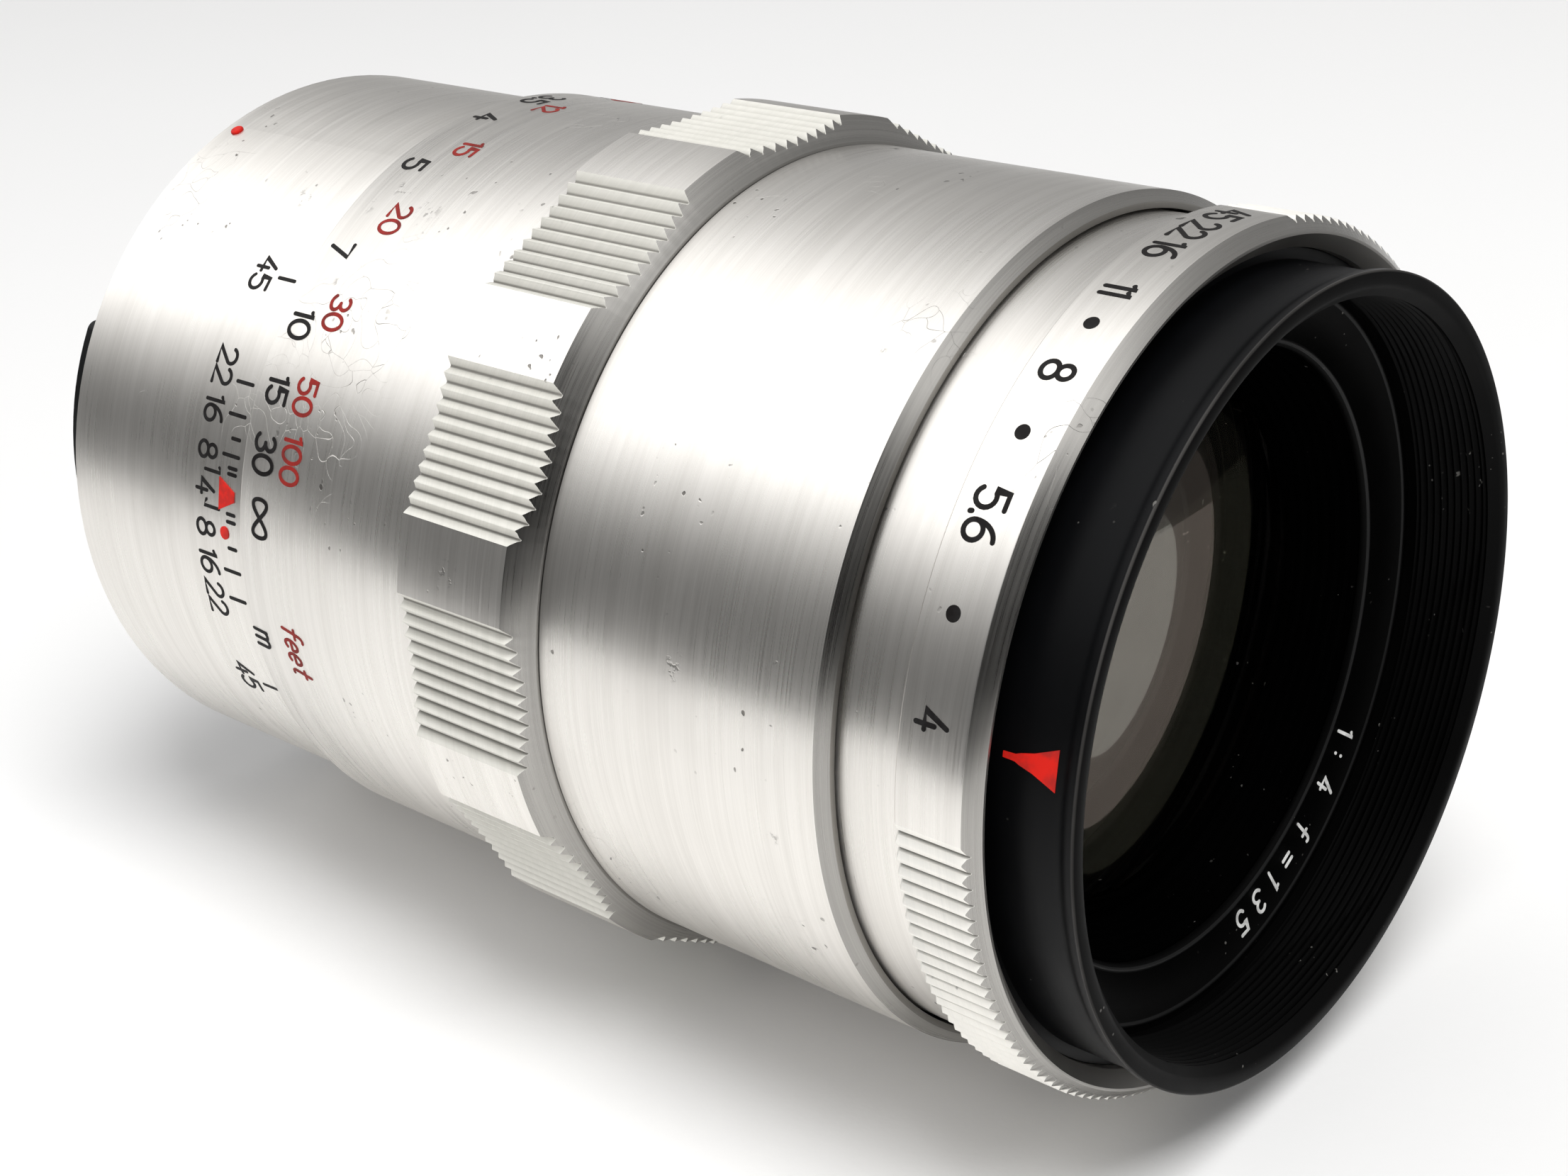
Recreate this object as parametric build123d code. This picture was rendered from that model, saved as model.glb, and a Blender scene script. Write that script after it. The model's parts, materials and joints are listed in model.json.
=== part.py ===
from build123d import *
import math
import os

# Prime lens, 135 mm f/4, lying on its side. Millimetres.
# The optical axis is the Y axis. The front of the lens faces -Y and the camera side faces +Y.
# The origin is the centre of the mounting flange. +Z is up.
# Angles go clockwise from the top as seen from the front: x = r sin(angle), z = r cos(angle).

# Overall lengths along the axis, measured from the flange (front is negative)
FRONT_Y = -89.4           # filter rim
APERTURE_FRONT_Y = -84.75 # front face of the aperture ring
APERTURE_REAR_Y = -79.2   # back of its knurled band
BARREL_FRONT_Y = -74.2
BARREL_WEB_Y = -54.1      # front of the web at the back of the main barrel
BARREL_REAR_Y = -51.2
SLEEVE_REAR_Y = -54.2     # back of the aperture ring's sleeve
FOCUS_FRONT_Y = -51.1
GRIP_FRONT_Y = -49.5
GRIP_REAR_Y = -39.8
FOCUS_REAR_Y = -21.2

# Outer radii
FRONT_RING_R = 25.4
LIP_R = 25.75
RIM_R = 24.6              # inner edge of the filter rim
APERTURE_R = 28.2
SLEEVE_R = 27.0
BARREL_R = 28.3
FOCUS_R = 28.45
COLLAR_R = 28.5
LAND_R = 30.1
REAR_R = 27.6
WALL = 1.1                # wall of the outer shells
EDGE = 0.25               # small bevel on outer edges
BARREL_BEVEL = 0.7
BAND_BEVEL = 0.85         # front bevel of the aperture ring

# Running clearances on radius
RUNNING = 0.05
FREE = 0.1

# Focusing thread and its travel
HELIX_R = 25.6            # bore of the fixed outer helicoid
HELIX_FRONT_Y = -46.5
HELICOID_REAR_Y = -22.0
FOCUS_BORE_R = REAR_R + FREE
FLANGE_R = 27.2           # joint of the focusing ring and its helicoid
FLANGE_REAR_Y = -48.6
FOCUS_STEP_Y = -46.7
FOCUS_SCREW_R = 26.4
FOCUS_SCREWS = 3
HEAD_TUBE_R = 23.4
HEAD_BORE_R = 21.2
HEAD_REAR_Y = -2.0
HEAD_FRONT_Y = -57.0
NUT_FRONT_Y = -21.9
NUT_REAR_Y = -19.6
BAFFLE_R = 17.0
BAFFLE_STEPS = 8
BAFFLE_FRONT_Y = -46.0
BAFFLE_TAPER = 0.3        # each ridge stands this much wider than the one before
BAFFLE_LAND = 0.6         # width of a ridge's crest
BAFFLE_RIDGE = 1.6        # depth between the ridges

# Grip of the focusing ring
LANDS = 12
LAND_ARC = 10.0
SCALLOP_DIP = 0.65
SCALLOP_GROOVES = 10
GROOVE_DEPTH = 0.45

# Knurl of the aperture ring
KNURL_START = 9.7
KNURL_STEP = 2.2
KNURL_GROOVES = 119
KNURL_DEPTH = 0.4

# Filter thread for 49 mm filters, drawn as a plain bore
THREAD_R = 24.1
THREAD_REAR_Y = -83.7
THREAD_FRONT_Y = -88.9

# Skirt and flange of the front ring, on which the aperture ring turns
STEP_R = 26.2             # bore of the aperture ring's lip
STEP_Y = -82.55
STEP_FRONT_Y = -83.7
BAND_FACE_R = 27.15       # inner edge of the aperture ring's front face
RING_FLANGE_R = 26.15
RING_FLANGE_FRONT_Y = -83.2
RING_FLANGE_REAR_Y = -82.6
SKIRT_REAR_Y = -66.1
SKIRT_BORE_R = 24.35

# Name ring
NAME_RING_R = 20.0
NAME_RING_Y = -82.0
NAME_RING_OUT_R = 24.0
NAME_RING_OUT_Y = -82.9
NAME_RING_REAR_Y = -81.6

# Glass and its cells: edge radius of each element and the places of its ground edge
FRONT_GLASS_R, FRONT_GLASS_Y, FRONT_GLASS_REAR_Y = 18.6, -75.0, -70.8
MIDDLE_GLASS_R, MIDDLE_GLASS_Y, MIDDLE_GLASS_REAR_Y = 15.6, -69.2, -63.4
REAR_GLASS_R, REAR_GLASS_Y, REAR_JOINT_Y, REAR_GLASS_REAR_Y = 15.0, -55.5, -52.5, -48.9
FRONT_CURVES = (50, -160)
MIDDLE_CURVES = (-80, -48)
REAR_FRONT_CURVES = (70, -45)
REAR_BACK_CURVES = (45, 60)
CELL_REAR_Y = -63.0
CELL_RIM_Y = -64.5        # seat of the front cell on the iris housing
CELL_WALL_R = 21.8
CELL_BORE_R = 20.8
CELL_STOP_R = 14.8        # ledge behind the middle element
RETAINER_FRONT_Y = -81.5
RETAINER_GROOVES = 9
REAR_CELL_STOP_R = 14.5
REAR_CELL_REAR_Y = -47.0
REAR_SEAT_R = 16.5

# Iris
BLADES = 10
OPEN_R = 14.2             # inner edge of a blade
BLADE_OUT_R = 20.0
BLADE_ARC = 140.0
BLADE_T = 0.12
BLADE_STEP = 0.2          # each blade lies on its own level
BLADE_Y = -58.6
PIVOT_R = 22.5
PIN_R = 0.35
PIN_ARM = 5.0             # pivot to driving pin
SMALLEST_R = 1.25         # iris radius at f/45
RING_TURN = 79.3          # aperture ring, from f/4 to f/45
BLADE_TURN = 2 * math.degrees(math.asin((OPEN_R - SMALLEST_R) / (2 * PIVOT_R)))
ACTUATOR_FRONT_Y = -62.15
ACTUATOR_REAR_Y = -60.75
ACTUATOR_BORE_R = 18.5
COVER_REAR_Y = -62.25
HOUSING_FLOOR_Y = -58.5
HOUSING_WALL_R = 25.2
HOUSING_R = 25.9
LINK_PIN_ANGLE = 150.0
LINK_PIN_R = 0.45
LINK_PIN_INNER_R = 24.75
LINK_PIN_OUTER_R = 26.9

# Bayonet
TUBE_R = 22.7
THROAT_R = 21.6
LUG_R = 24.1
LUG_ARC = 62.0
LUG_ANGLES = (-88.0, 32.0, 152.0)
MOUNT_END_Y = 5.8
MOUNT_SEAT_Y = -1.5       # the bayonet plate is let into the barrel this far
MOUNT_WEB_Y = -4.5        # front of the web that its screws bite into
LUG_FRONT_Y = 3.6
LUG_REAR_Y = 5.4
SCREW_PCD_R = 24.55
SCREW_ANGLES = (92, 212, 332)     # between the lugs
SLOT = 0.3                # width and depth of a screw's slot
SCREW_R = 0.5
SCREW_HEAD_R = 0.9
SCREW_HEAD_Y = -0.7
SCREW_TOP_Y = -0.05

# Red mounting mark
DOT_ANGLE = -19.5
DOT_Y = -1.7
DOT_R = 0.5
DOT_DEPTH = 0.8

# Guide key
KEY_ANGLE = 165.0
KEY_FRONT_Y = -18.5
KEY_REAR_Y = -5.5
KEY_SCREW_Y = (-16.0, -8.0)
KEY_SCREW_R = 0.6
KEY_HEAD_R = 1.1
KEY_WIDTH = 4.0
KEY_INNER_R = 22.0
KEY_HEAD_DEPTH = 1.2
KEY_SCREW_END_R = 26.8


def polar(radius, angle):
    """Point on a plane across the axis, in that plane's own x and y."""
    turn = math.radians(angle)
    return radius * math.sin(turn), radius * math.cos(turn)


def across(y):
    """Plane across the axis at y, facing the front."""
    return Plane(origin=(0, y, 0), x_dir=(1, 0, 0), z_dir=(0, -1, 0))


def spun(*points):
    """Solid of revolution about the optical axis, from (radius, y) points."""
    return revolve(make_face(Polyline(*points, close=True)), Axis.Y, 360)


def tube(outer, inner, front, rear):
    """Plain ring between two places on the axis."""
    return spun((inner, front), (outer, front), (outer, rear), (inner, rear))


def disc_at(radius, angle, size, front, rear):
    """Round bar parallel to the axis."""
    spot = across(rear) * Pos(*polar(radius, angle)) * Circle(size)
    return extrude(spot, rear - front)


def radial_bar(angle, y, size, inner, outer):
    """Round bar that points away from the axis."""
    turn = math.radians(angle)
    out = (math.sin(turn), 0, math.cos(turn))
    start = (inner * out[0], y, inner * out[2])
    return extrude(Plane(origin=start, x_dir=(0, 1, 0), z_dir=out) * Circle(size), outer - inner)


def sector(inner, outer, start, end, front, rear):
    """Part of a ring, from one angle to another."""
    middle = (start + end) / 2
    outline = [
        ThreePointArc(polar(outer, start), polar(outer, middle), polar(outer, end)),
        Line(polar(outer, end), polar(inner, end)),
        ThreePointArc(polar(inner, end), polar(inner, middle), polar(inner, start)),
        Line(polar(inner, start), polar(outer, start)),
    ]
    return extrude(across(rear) * make_face(outline), rear - front)


def sag(curvature, radius):
    """Depth of a spherical surface at a radius. A negative curvature radius is hollow."""
    if curvature == 0:
        return 0
    depth = abs(curvature) - math.sqrt(curvature**2 - radius**2)
    return math.copysign(depth, curvature)


def lens(radius, front, rear, front_curve, rear_curve):
    """Glass element with ground edges from front to rear and two spherical faces."""
    front_pole = front - sag(front_curve, radius)
    rear_pole = rear + sag(rear_curve, radius)
    half = radius / 2
    outline = [
        ThreePointArc((0, front_pole), (half, front_pole + sag(front_curve, half)), (radius, front)),
        Line((radius, front), (radius, rear)),
        ThreePointArc((radius, rear), (half, rear_pole - sag(rear_curve, half)), (0, rear_pole)),
        Line((0, rear_pole), (0, front_pole)),
    ]
    return revolve(make_face(outline), Axis.Y, 360)


# ---------------------------------------------------------------- fixed rear body

def rear_barrel():
    """Fixed sleeve: depth scale behind, outer helicoid under the focusing ring."""
    body = spun(
        (HELIX_R, HELIX_FRONT_Y), (REAR_R, HELIX_FRONT_Y), (REAR_R, -EDGE), (REAR_R - EDGE, 0),
        (HELIX_R, 0), (HELIX_R, MOUNT_SEAT_Y), (HEAD_TUBE_R + FREE, MOUNT_SEAT_Y),
        (HEAD_TUBE_R + FREE, MOUNT_WEB_Y), (HELIX_R, MOUNT_WEB_Y),
    )
    for angle in SCREW_ANGLES:
        body -= disc_at(SCREW_PCD_R, angle, SCREW_R, MOUNT_WEB_Y, MOUNT_SEAT_Y)
    for y in KEY_SCREW_Y:
        body -= radial_bar(KEY_ANGLE, y, KEY_SCREW_R, HELIX_R - FREE, KEY_SCREW_END_R + FREE)
    return body - radial_bar(DOT_ANGLE, DOT_Y, DOT_R, REAR_R - DOT_DEPTH, REAR_R + 1)


def mount_ring():
    """Black bayonet: spigot, tube and three lugs."""
    ring = spun(
        (THROAT_R, MOUNT_SEAT_Y), (HELIX_R, MOUNT_SEAT_Y), (HELIX_R, 0), (TUBE_R, 0),
        (TUBE_R, MOUNT_END_Y - 0.4), (TUBE_R - 0.4, MOUNT_END_Y), (THROAT_R, MOUNT_END_Y),
    )
    for angle in LUG_ANGLES:
        lug = sector(TUBE_R - 0.5, LUG_R, angle - LUG_ARC / 2, angle + LUG_ARC / 2, LUG_FRONT_Y, LUG_REAR_Y)
        corners = lug.edges().filter_by(Axis.Y).sort_by(lambda e: e.center().X**2 + e.center().Z**2)
        ring += fillet(corners[-2:], 0.9)
    for angle in SCREW_ANGLES:
        ring -= disc_at(SCREW_PCD_R, angle, SCREW_R + RUNNING, MOUNT_SEAT_Y, 0)
        ring -= disc_at(SCREW_PCD_R, angle, SCREW_HEAD_R + RUNNING, SCREW_HEAD_Y, 0)
    return ring


def mount_screws():
    """Slotted screws that hold the bayonet to the rear barrel."""
    screws = Part()
    for angle in SCREW_ANGLES:
        screw = disc_at(SCREW_PCD_R, angle, SCREW_R, MOUNT_WEB_Y + FREE, SCREW_HEAD_Y)
        screw += disc_at(SCREW_PCD_R, angle, SCREW_HEAD_R, SCREW_HEAD_Y, SCREW_TOP_Y)
        slot = across(SCREW_TOP_Y) * Pos(*polar(SCREW_PCD_R, angle)) * Rectangle(3 * SCREW_HEAD_R, SLOT)
        screws += screw - extrude(slot, SLOT)
    return screws


def alignment_dot():
    """Red bead that shows where the bayonet goes in."""
    bead = radial_bar(DOT_ANGLE, DOT_Y, DOT_R, REAR_R - DOT_DEPTH, REAR_R + 0.2)
    return fillet(bead.edges().sort_by_distance((0, DOT_Y, 0))[-1], 0.15)


def key_bar(width, inner, outer, front, rear):
    """Block along the axis at the key's angle."""
    middle = Pos(*polar((inner + outer) / 2, KEY_ANGLE)) * Rot(0, 0, -KEY_ANGLE)
    return extrude(across(rear) * middle * Rectangle(width, outer - inner), rear - front)


def guide_key():
    """Key that lets the front of the lens slide but not turn."""
    key = key_bar(KEY_WIDTH, KEY_INNER_R, HELIX_R + 1, KEY_FRONT_Y, KEY_REAR_Y)
    key &= tube(HELIX_R, KEY_INNER_R - 1, KEY_FRONT_Y, KEY_REAR_Y)
    for y in KEY_SCREW_Y:
        key -= radial_bar(KEY_ANGLE, y, KEY_SCREW_R, KEY_INNER_R - 1, HELIX_R + 1)
        key -= radial_bar(KEY_ANGLE, y, KEY_HEAD_R, KEY_INNER_R - 1, KEY_INNER_R + KEY_HEAD_DEPTH)
    return key


def guide_key_screws():
    """Two screws that hold the key from inside."""
    screws = Part()
    for y in KEY_SCREW_Y:
        screws += radial_bar(KEY_ANGLE, y, KEY_SCREW_R, KEY_INNER_R + KEY_HEAD_DEPTH, KEY_SCREW_END_R)
        head_r = KEY_HEAD_R - RUNNING
        screws += radial_bar(KEY_ANGLE, y, head_r, KEY_INNER_R + FREE, KEY_INNER_R + KEY_HEAD_DEPTH)
    return screws


# ---------------------------------------------------------------- focusing ring


def scallop(angle):
    """Material that one hollow of the grip takes away: a dished, grooved outline."""
    half = (360 / LANDS - LAND_ARC) / 2
    pitch = 2 * half / SCALLOP_GROOVES
    points = [polar(LAND_R + 1, angle - half), polar(LAND_R, angle - half)]
    for k in range(SCALLOP_GROOVES):
        root = -half + pitch * (k + 0.5)
        tip = root + pitch / 2
        points.append(polar(dished(root, half) - GROOVE_DEPTH, angle + root))
        points.append(polar(dished(tip, half), angle + tip))
    points.append(polar(LAND_R + 1, angle + half))
    cut = make_face(Polyline(*points, close=True))
    return extrude(across(GRIP_REAR_Y + 0.1) * cut, GRIP_REAR_Y + 0.1 - FOCUS_FRONT_Y + 0.1)


def dished(offset, half):
    """Radius of the tooth tips across a hollow."""
    return LAND_R - SCALLOP_DIP * (1 - (offset / half) ** 2)


def focus_ring():
    """Focusing ring with distance scale, lobed grip and sloping front."""
    grip = spun(
        (FLANGE_R, FOCUS_FRONT_Y), (COLLAR_R, FOCUS_FRONT_Y), (LAND_R, GRIP_FRONT_Y),
        (LAND_R, GRIP_REAR_Y - EDGE), (LAND_R - EDGE, GRIP_REAR_Y), (FLANGE_R, GRIP_REAR_Y),
    )
    hollows = [scallop(360 / LANDS * k) for k in range(LANDS)]
    grip -= hollows
    skirt = spun(
        (FOCUS_BORE_R, GRIP_REAR_Y - 0.5), (FOCUS_R, GRIP_REAR_Y - 0.5), (FOCUS_R, FOCUS_REAR_Y - EDGE),
        (FOCUS_R - EDGE, FOCUS_REAR_Y), (FOCUS_BORE_R, FOCUS_REAR_Y),
    )
    inside = tube(FOCUS_BORE_R, 20, FOCUS_STEP_Y, FOCUS_REAR_Y + 1)
    ring = grip + skirt - inside
    ring += tube(FLANGE_R + 0.1, HELIX_R + FREE, FLANGE_REAR_Y, FOCUS_STEP_Y)
    for k in range(FOCUS_SCREWS):
        ring -= disc_at(FOCUS_SCREW_R, 60 + 120 * k, 0.5, FLANGE_REAR_Y, FOCUS_STEP_Y)
    return ring


def focus_helicoid():
    """Brass inner helicoid that turns with the focusing ring."""
    sleeve = spun(
        (HEAD_TUBE_R + RUNNING, FOCUS_FRONT_Y), (FLANGE_R, FOCUS_FRONT_Y), (FLANGE_R, FLANGE_REAR_Y),
        (HELIX_R - RUNNING, FLANGE_REAR_Y), (HELIX_R - RUNNING, HELICOID_REAR_Y),
        (HEAD_TUBE_R + RUNNING, HELICOID_REAR_Y),
    )
    for k in range(FOCUS_SCREWS):
        sleeve -= disc_at(FOCUS_SCREW_R, 60 + 120 * k, 0.55, FOCUS_FRONT_Y, FLANGE_REAR_Y)
        sleeve -= disc_at(FOCUS_SCREW_R, 60 + 120 * k, 0.75, FOCUS_FRONT_Y, FOCUS_FRONT_Y + 1)
    return sleeve


def focus_ring_screws():
    """Screws that join the focusing ring to its helicoid."""
    screws = Part()
    for k in range(FOCUS_SCREWS):
        screws += disc_at(FOCUS_SCREW_R, 60 + 120 * k, 0.5, FOCUS_FRONT_Y + 1, FOCUS_STEP_Y - 0.2)
        screws += disc_at(FOCUS_SCREW_R, 60 + 120 * k, 0.7, FOCUS_FRONT_Y + 0.2, FOCUS_FRONT_Y + 1)
    return screws


# ---------------------------------------------------------------- sliding head

def main_barrel():
    """Bright front barrel, screwed to the head tube by its rear web."""
    return spun(
        (BARREL_R - WALL, BARREL_FRONT_Y), (BARREL_R - BARREL_BEVEL, BARREL_FRONT_Y),
        (BARREL_R, BARREL_FRONT_Y + BARREL_BEVEL), (BARREL_R, BARREL_REAR_Y), (HEAD_TUBE_R, BARREL_REAR_Y),
        (HEAD_TUBE_R, BARREL_WEB_Y), (BARREL_R - WALL, BARREL_WEB_Y),
    )


def head_tube():
    """Inner tube of the head, with the slot that the guide key runs in."""
    body = tube(HEAD_TUBE_R, HEAD_BORE_R, HEAD_FRONT_Y, HEAD_REAR_Y)
    width, inner = KEY_WIDTH + 2 * RUNNING, KEY_INNER_R - FREE
    return body - key_bar(width, inner, HEAD_TUBE_R + 1, KEY_FRONT_Y - 0.7, HEAD_REAR_Y + 1)


def captive_ring():
    """Brass nut behind the helicoid that keeps it on the head tube."""
    return tube(HELIX_R - 0.4, HEAD_TUBE_R, NUT_FRONT_Y, NUT_REAR_Y)


def light_baffle():
    """Black stepped tube that stops stray light behind the glass."""
    rear = HEAD_REAR_Y - 0.5
    run = (rear - BAFFLE_FRONT_Y) / BAFFLE_STEPS
    points = [(HEAD_BORE_R, rear), (HEAD_BORE_R, BAFFLE_FRONT_Y)]
    for k in range(BAFFLE_STEPS):
        crest = BAFFLE_R + BAFFLE_TAPER * k
        y = BAFFLE_FRONT_Y + run * k
        points += [(crest, y), (crest, y + BAFFLE_LAND), (crest + BAFFLE_RIDGE, y + run)]
    return spun(*points)


def iris_housing():
    """Cup with the blade pivots; its wall has the slot for the link pin."""
    cup = spun(
        (OPEN_R + FREE, HEAD_FRONT_Y), (HOUSING_R, HEAD_FRONT_Y), (HOUSING_R, CELL_RIM_Y),
        (HOUSING_WALL_R, CELL_RIM_Y), (HOUSING_WALL_R, HOUSING_FLOOR_Y), (OPEN_R + FREE, HOUSING_FLOOR_Y),
    )
    for k in range(BLADES):
        cup -= disc_at(PIVOT_R, 360 / BLADES * k, PIN_R + RUNNING, HOUSING_FLOOR_Y, HEAD_FRONT_Y)
    ease = math.degrees((LINK_PIN_R + FREE) / HOUSING_R)
    middle = (ACTUATOR_FRONT_Y + ACTUATOR_REAR_Y) / 2
    reach = LINK_PIN_R + RUNNING
    return cup - sector(
        HOUSING_WALL_R - 1, HOUSING_R + 1, LINK_PIN_ANGLE - RING_TURN - ease, LINK_PIN_ANGLE + ease,
        middle - reach, middle + reach,
    )


def blade_pin_path(fraction):
    """Radius and angle of a driving pin, seen from the actuator, as the iris closes."""
    turn = math.radians(BLADE_TURN * fraction)
    start = math.radians(BLADE_TURN / 2)
    along = PIN_ARM * math.cos(turn - start)
    out = PIVOT_R + PIN_ARM * math.sin(turn - start)
    radius = math.hypot(along, out)
    return radius, math.degrees(math.atan2(along, out)) + RING_TURN * fraction


def iris_actuator():
    """Slotted ring: turning it swings every blade."""
    plate = tube(HOUSING_WALL_R - RUNNING, ACTUATOR_BORE_R, ACTUATOR_FRONT_Y, ACTUATOR_REAR_Y)
    samples = [blade_pin_path(k / 8) for k in range(9)]
    width = PIN_R + 0.07
    for blade in range(BLADES):
        base = 360 / BLADES * blade
        outer = [polar(radius + width, base + angle) for radius, angle in samples]
        inner = [polar(radius - width, base + angle) for radius, angle in samples]
        outline = [
            Spline(*outer), Line(outer[-1], inner[-1]), Spline(*reversed(inner)), Line(inner[0], outer[0]),
        ]
        cut = make_face(outline)
        for radius, angle in (samples[0], samples[-1]):
            cut += Pos(*polar(radius, base + angle)) * Circle(width)
        plate -= extrude(across(ACTUATOR_REAR_Y + 0.1) * cut, 1.6)
    middle = (ACTUATOR_FRONT_Y + ACTUATOR_REAR_Y) / 2
    return plate - radial_bar(LINK_PIN_ANGLE, middle, LINK_PIN_R, LINK_PIN_INNER_R, HOUSING_R)


def iris_cover():
    """Thin ring that keeps the actuator in the housing."""
    return tube(HOUSING_WALL_R, ACTUATOR_BORE_R, CELL_REAR_Y, COVER_REAR_Y)


def iris_blade(index):
    """One curved leaf with its pivot pin behind and its driving pin in front."""
    rear = BLADE_Y - BLADE_STEP * index
    front = rear - BLADE_T
    base = 360 / BLADES * index
    pivot = polar(PIVOT_R, base)
    radius, angle = blade_pin_path(0)
    drive = polar(radius, base + angle)
    middle, end = base - BLADE_ARC / 2, base - BLADE_ARC
    mean_r = (OPEN_R + BLADE_OUT_R) / 2
    leaf = make_face([
        ThreePointArc(polar(BLADE_OUT_R, base), polar(BLADE_OUT_R, middle), polar(BLADE_OUT_R, end)),
        ThreePointArc(polar(BLADE_OUT_R, end), polar(mean_r, end - 5), polar(OPEN_R, end)),
        ThreePointArc(polar(OPEN_R, end), polar(OPEN_R, middle), polar(OPEN_R, base)),
        Line(polar(OPEN_R, base), polar(BLADE_OUT_R, base)),
    ])
    neck = make_face(Polyline(
        polar(OPEN_R + 2, base), polar(OPEN_R + 2, base - 9), polar(PIVOT_R + 0.5, base - 2.2), pivot,
        close=True,
    ))
    arm = make_face(Polyline(
        polar(PIVOT_R + 0.9, base), polar(radius + 0.6, base + angle),
        polar(radius - 0.6, base + angle), polar(BLADE_OUT_R - 1, base), close=True,
    ))
    shape = leaf + neck + arm + Pos(*pivot) * Circle(1.0) + Pos(*drive) * Circle(0.6)
    plate = extrude(across(rear) * shape, BLADE_T)
    plate += extrude(across(HEAD_FRONT_Y - 0.1) * Pos(*pivot) * Circle(PIN_R), HEAD_FRONT_Y - 0.1 - front)
    plate += extrude(across(rear) * Pos(*drive) * Circle(PIN_R), rear - ACTUATOR_FRONT_Y - 0.1)
    return plate


def aperture_ring():
    """Aperture ring: scaled and knurled band on a long sleeve."""
    ring = spun(
        (STEP_R, STEP_FRONT_Y), (BAND_FACE_R, APERTURE_FRONT_Y),
        (APERTURE_R - BAND_BEVEL, APERTURE_FRONT_Y), (APERTURE_R, APERTURE_FRONT_Y + BAND_BEVEL),
        (APERTURE_R, APERTURE_REAR_Y - EDGE),
        (APERTURE_R - EDGE, APERTURE_REAR_Y), (SLEEVE_R, APERTURE_REAR_Y), (SLEEVE_R, SLEEVE_REAR_Y),
        (HOUSING_R + RUNNING, SLEEVE_REAR_Y), (HOUSING_R + RUNNING, STEP_Y), (STEP_R, STEP_Y),
    )
    outline = [polar(APERTURE_R + 1, KNURL_START)]
    for k in range(KNURL_GROOVES):
        outline.append(polar(APERTURE_R, KNURL_START + KNURL_STEP * k))
        outline.append(polar(APERTURE_R - KNURL_DEPTH, KNURL_START + KNURL_STEP * (k + 0.5)))
    end = KNURL_START + KNURL_STEP * KNURL_GROOVES
    outline.append(polar(APERTURE_R, end))
    sides = 24
    step = KNURL_STEP * KNURL_GROOVES / sides
    outline += [polar(APERTURE_R + 1.5, end - step * k) for k in range(sides + 1)]
    cut = make_face(Polyline(*outline, close=True))
    ring -= extrude(across(APERTURE_REAR_Y + 0.1) * cut, APERTURE_REAR_Y + 0.2 - APERTURE_FRONT_Y)
    middle = (ACTUATOR_FRONT_Y + ACTUATOR_REAR_Y) / 2
    return ring - radial_bar(LINK_PIN_ANGLE, middle, LINK_PIN_R, HOUSING_R - 1, LINK_PIN_OUTER_R)


def aperture_link_pin():
    """Pin that ties the aperture ring to the iris actuator."""
    middle = (ACTUATOR_FRONT_Y + ACTUATOR_REAR_Y) / 2
    return radial_bar(LINK_PIN_ANGLE, middle, LINK_PIN_R, LINK_PIN_INNER_R, LINK_PIN_OUTER_R)


def front_ring():
    """Black index ring with the filter thread; the aperture ring turns on its skirt."""
    return spun(
        (THREAD_R, THREAD_REAR_Y), (THREAD_R, THREAD_FRONT_Y), (RIM_R, FRONT_Y), (LIP_R, FRONT_Y - 0.2),
        (LIP_R, FRONT_Y + 0.4), (FRONT_RING_R, FRONT_Y + 1.0), (FRONT_RING_R, RING_FLANGE_FRONT_Y),
        (RING_FLANGE_R, RING_FLANGE_FRONT_Y), (RING_FLANGE_R, RING_FLANGE_REAR_Y),
        (HOUSING_R, RING_FLANGE_REAR_Y), (HOUSING_R, SKIRT_REAR_Y), (SKIRT_BORE_R, SKIRT_REAR_Y),
        (SKIRT_BORE_R, THREAD_REAR_Y),
    )


def name_ring():
    """Black ring inside the rim, sloping in towards the glass."""
    return spun(
        (NAME_RING_R, NAME_RING_Y), (NAME_RING_OUT_R, NAME_RING_OUT_Y), (SKIRT_BORE_R, NAME_RING_OUT_Y),
        (SKIRT_BORE_R, NAME_RING_REAR_Y), (NAME_RING_R, NAME_RING_REAR_Y),
    )


def front_cell():
    """Mount of the two front elements, screwed to the iris housing."""
    return spun(
        (CELL_STOP_R, CELL_REAR_Y), (HOUSING_WALL_R, CELL_REAR_Y), (HOUSING_WALL_R, CELL_RIM_Y),
        (HOUSING_R, CELL_RIM_Y), (HOUSING_R, SKIRT_REAR_Y), (CELL_WALL_R, SKIRT_REAR_Y),
        (CELL_WALL_R, NAME_RING_REAR_Y), (CELL_BORE_R, NAME_RING_REAR_Y), (CELL_BORE_R, FRONT_GLASS_Y),
        (FRONT_GLASS_R, FRONT_GLASS_Y), (FRONT_GLASS_R, MIDDLE_GLASS_Y), (MIDDLE_GLASS_R, MIDDLE_GLASS_Y),
        (MIDDLE_GLASS_R, MIDDLE_GLASS_REAR_Y), (CELL_STOP_R, MIDDLE_GLASS_REAR_Y),
    )


def front_retainer():
    """Grooved black cone that holds the front element."""
    run = (FRONT_GLASS_Y - FREE - RETAINER_FRONT_Y) / RETAINER_GROOVES
    points = [(CELL_BORE_R, FRONT_GLASS_Y), (CELL_BORE_R, RETAINER_FRONT_Y)]
    for k in range(RETAINER_GROOVES):
        y = RETAINER_FRONT_Y + run * k
        bore = CELL_BORE_R - 0.9 - 0.24 * k
        points += [(bore, y), (bore, y + run * 0.55), (bore + 0.12, y + run * 0.6)]
    return spun(*points, (FRONT_GLASS_R - 1, FRONT_GLASS_Y - 0.5), (FRONT_GLASS_R, FRONT_GLASS_Y))


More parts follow.
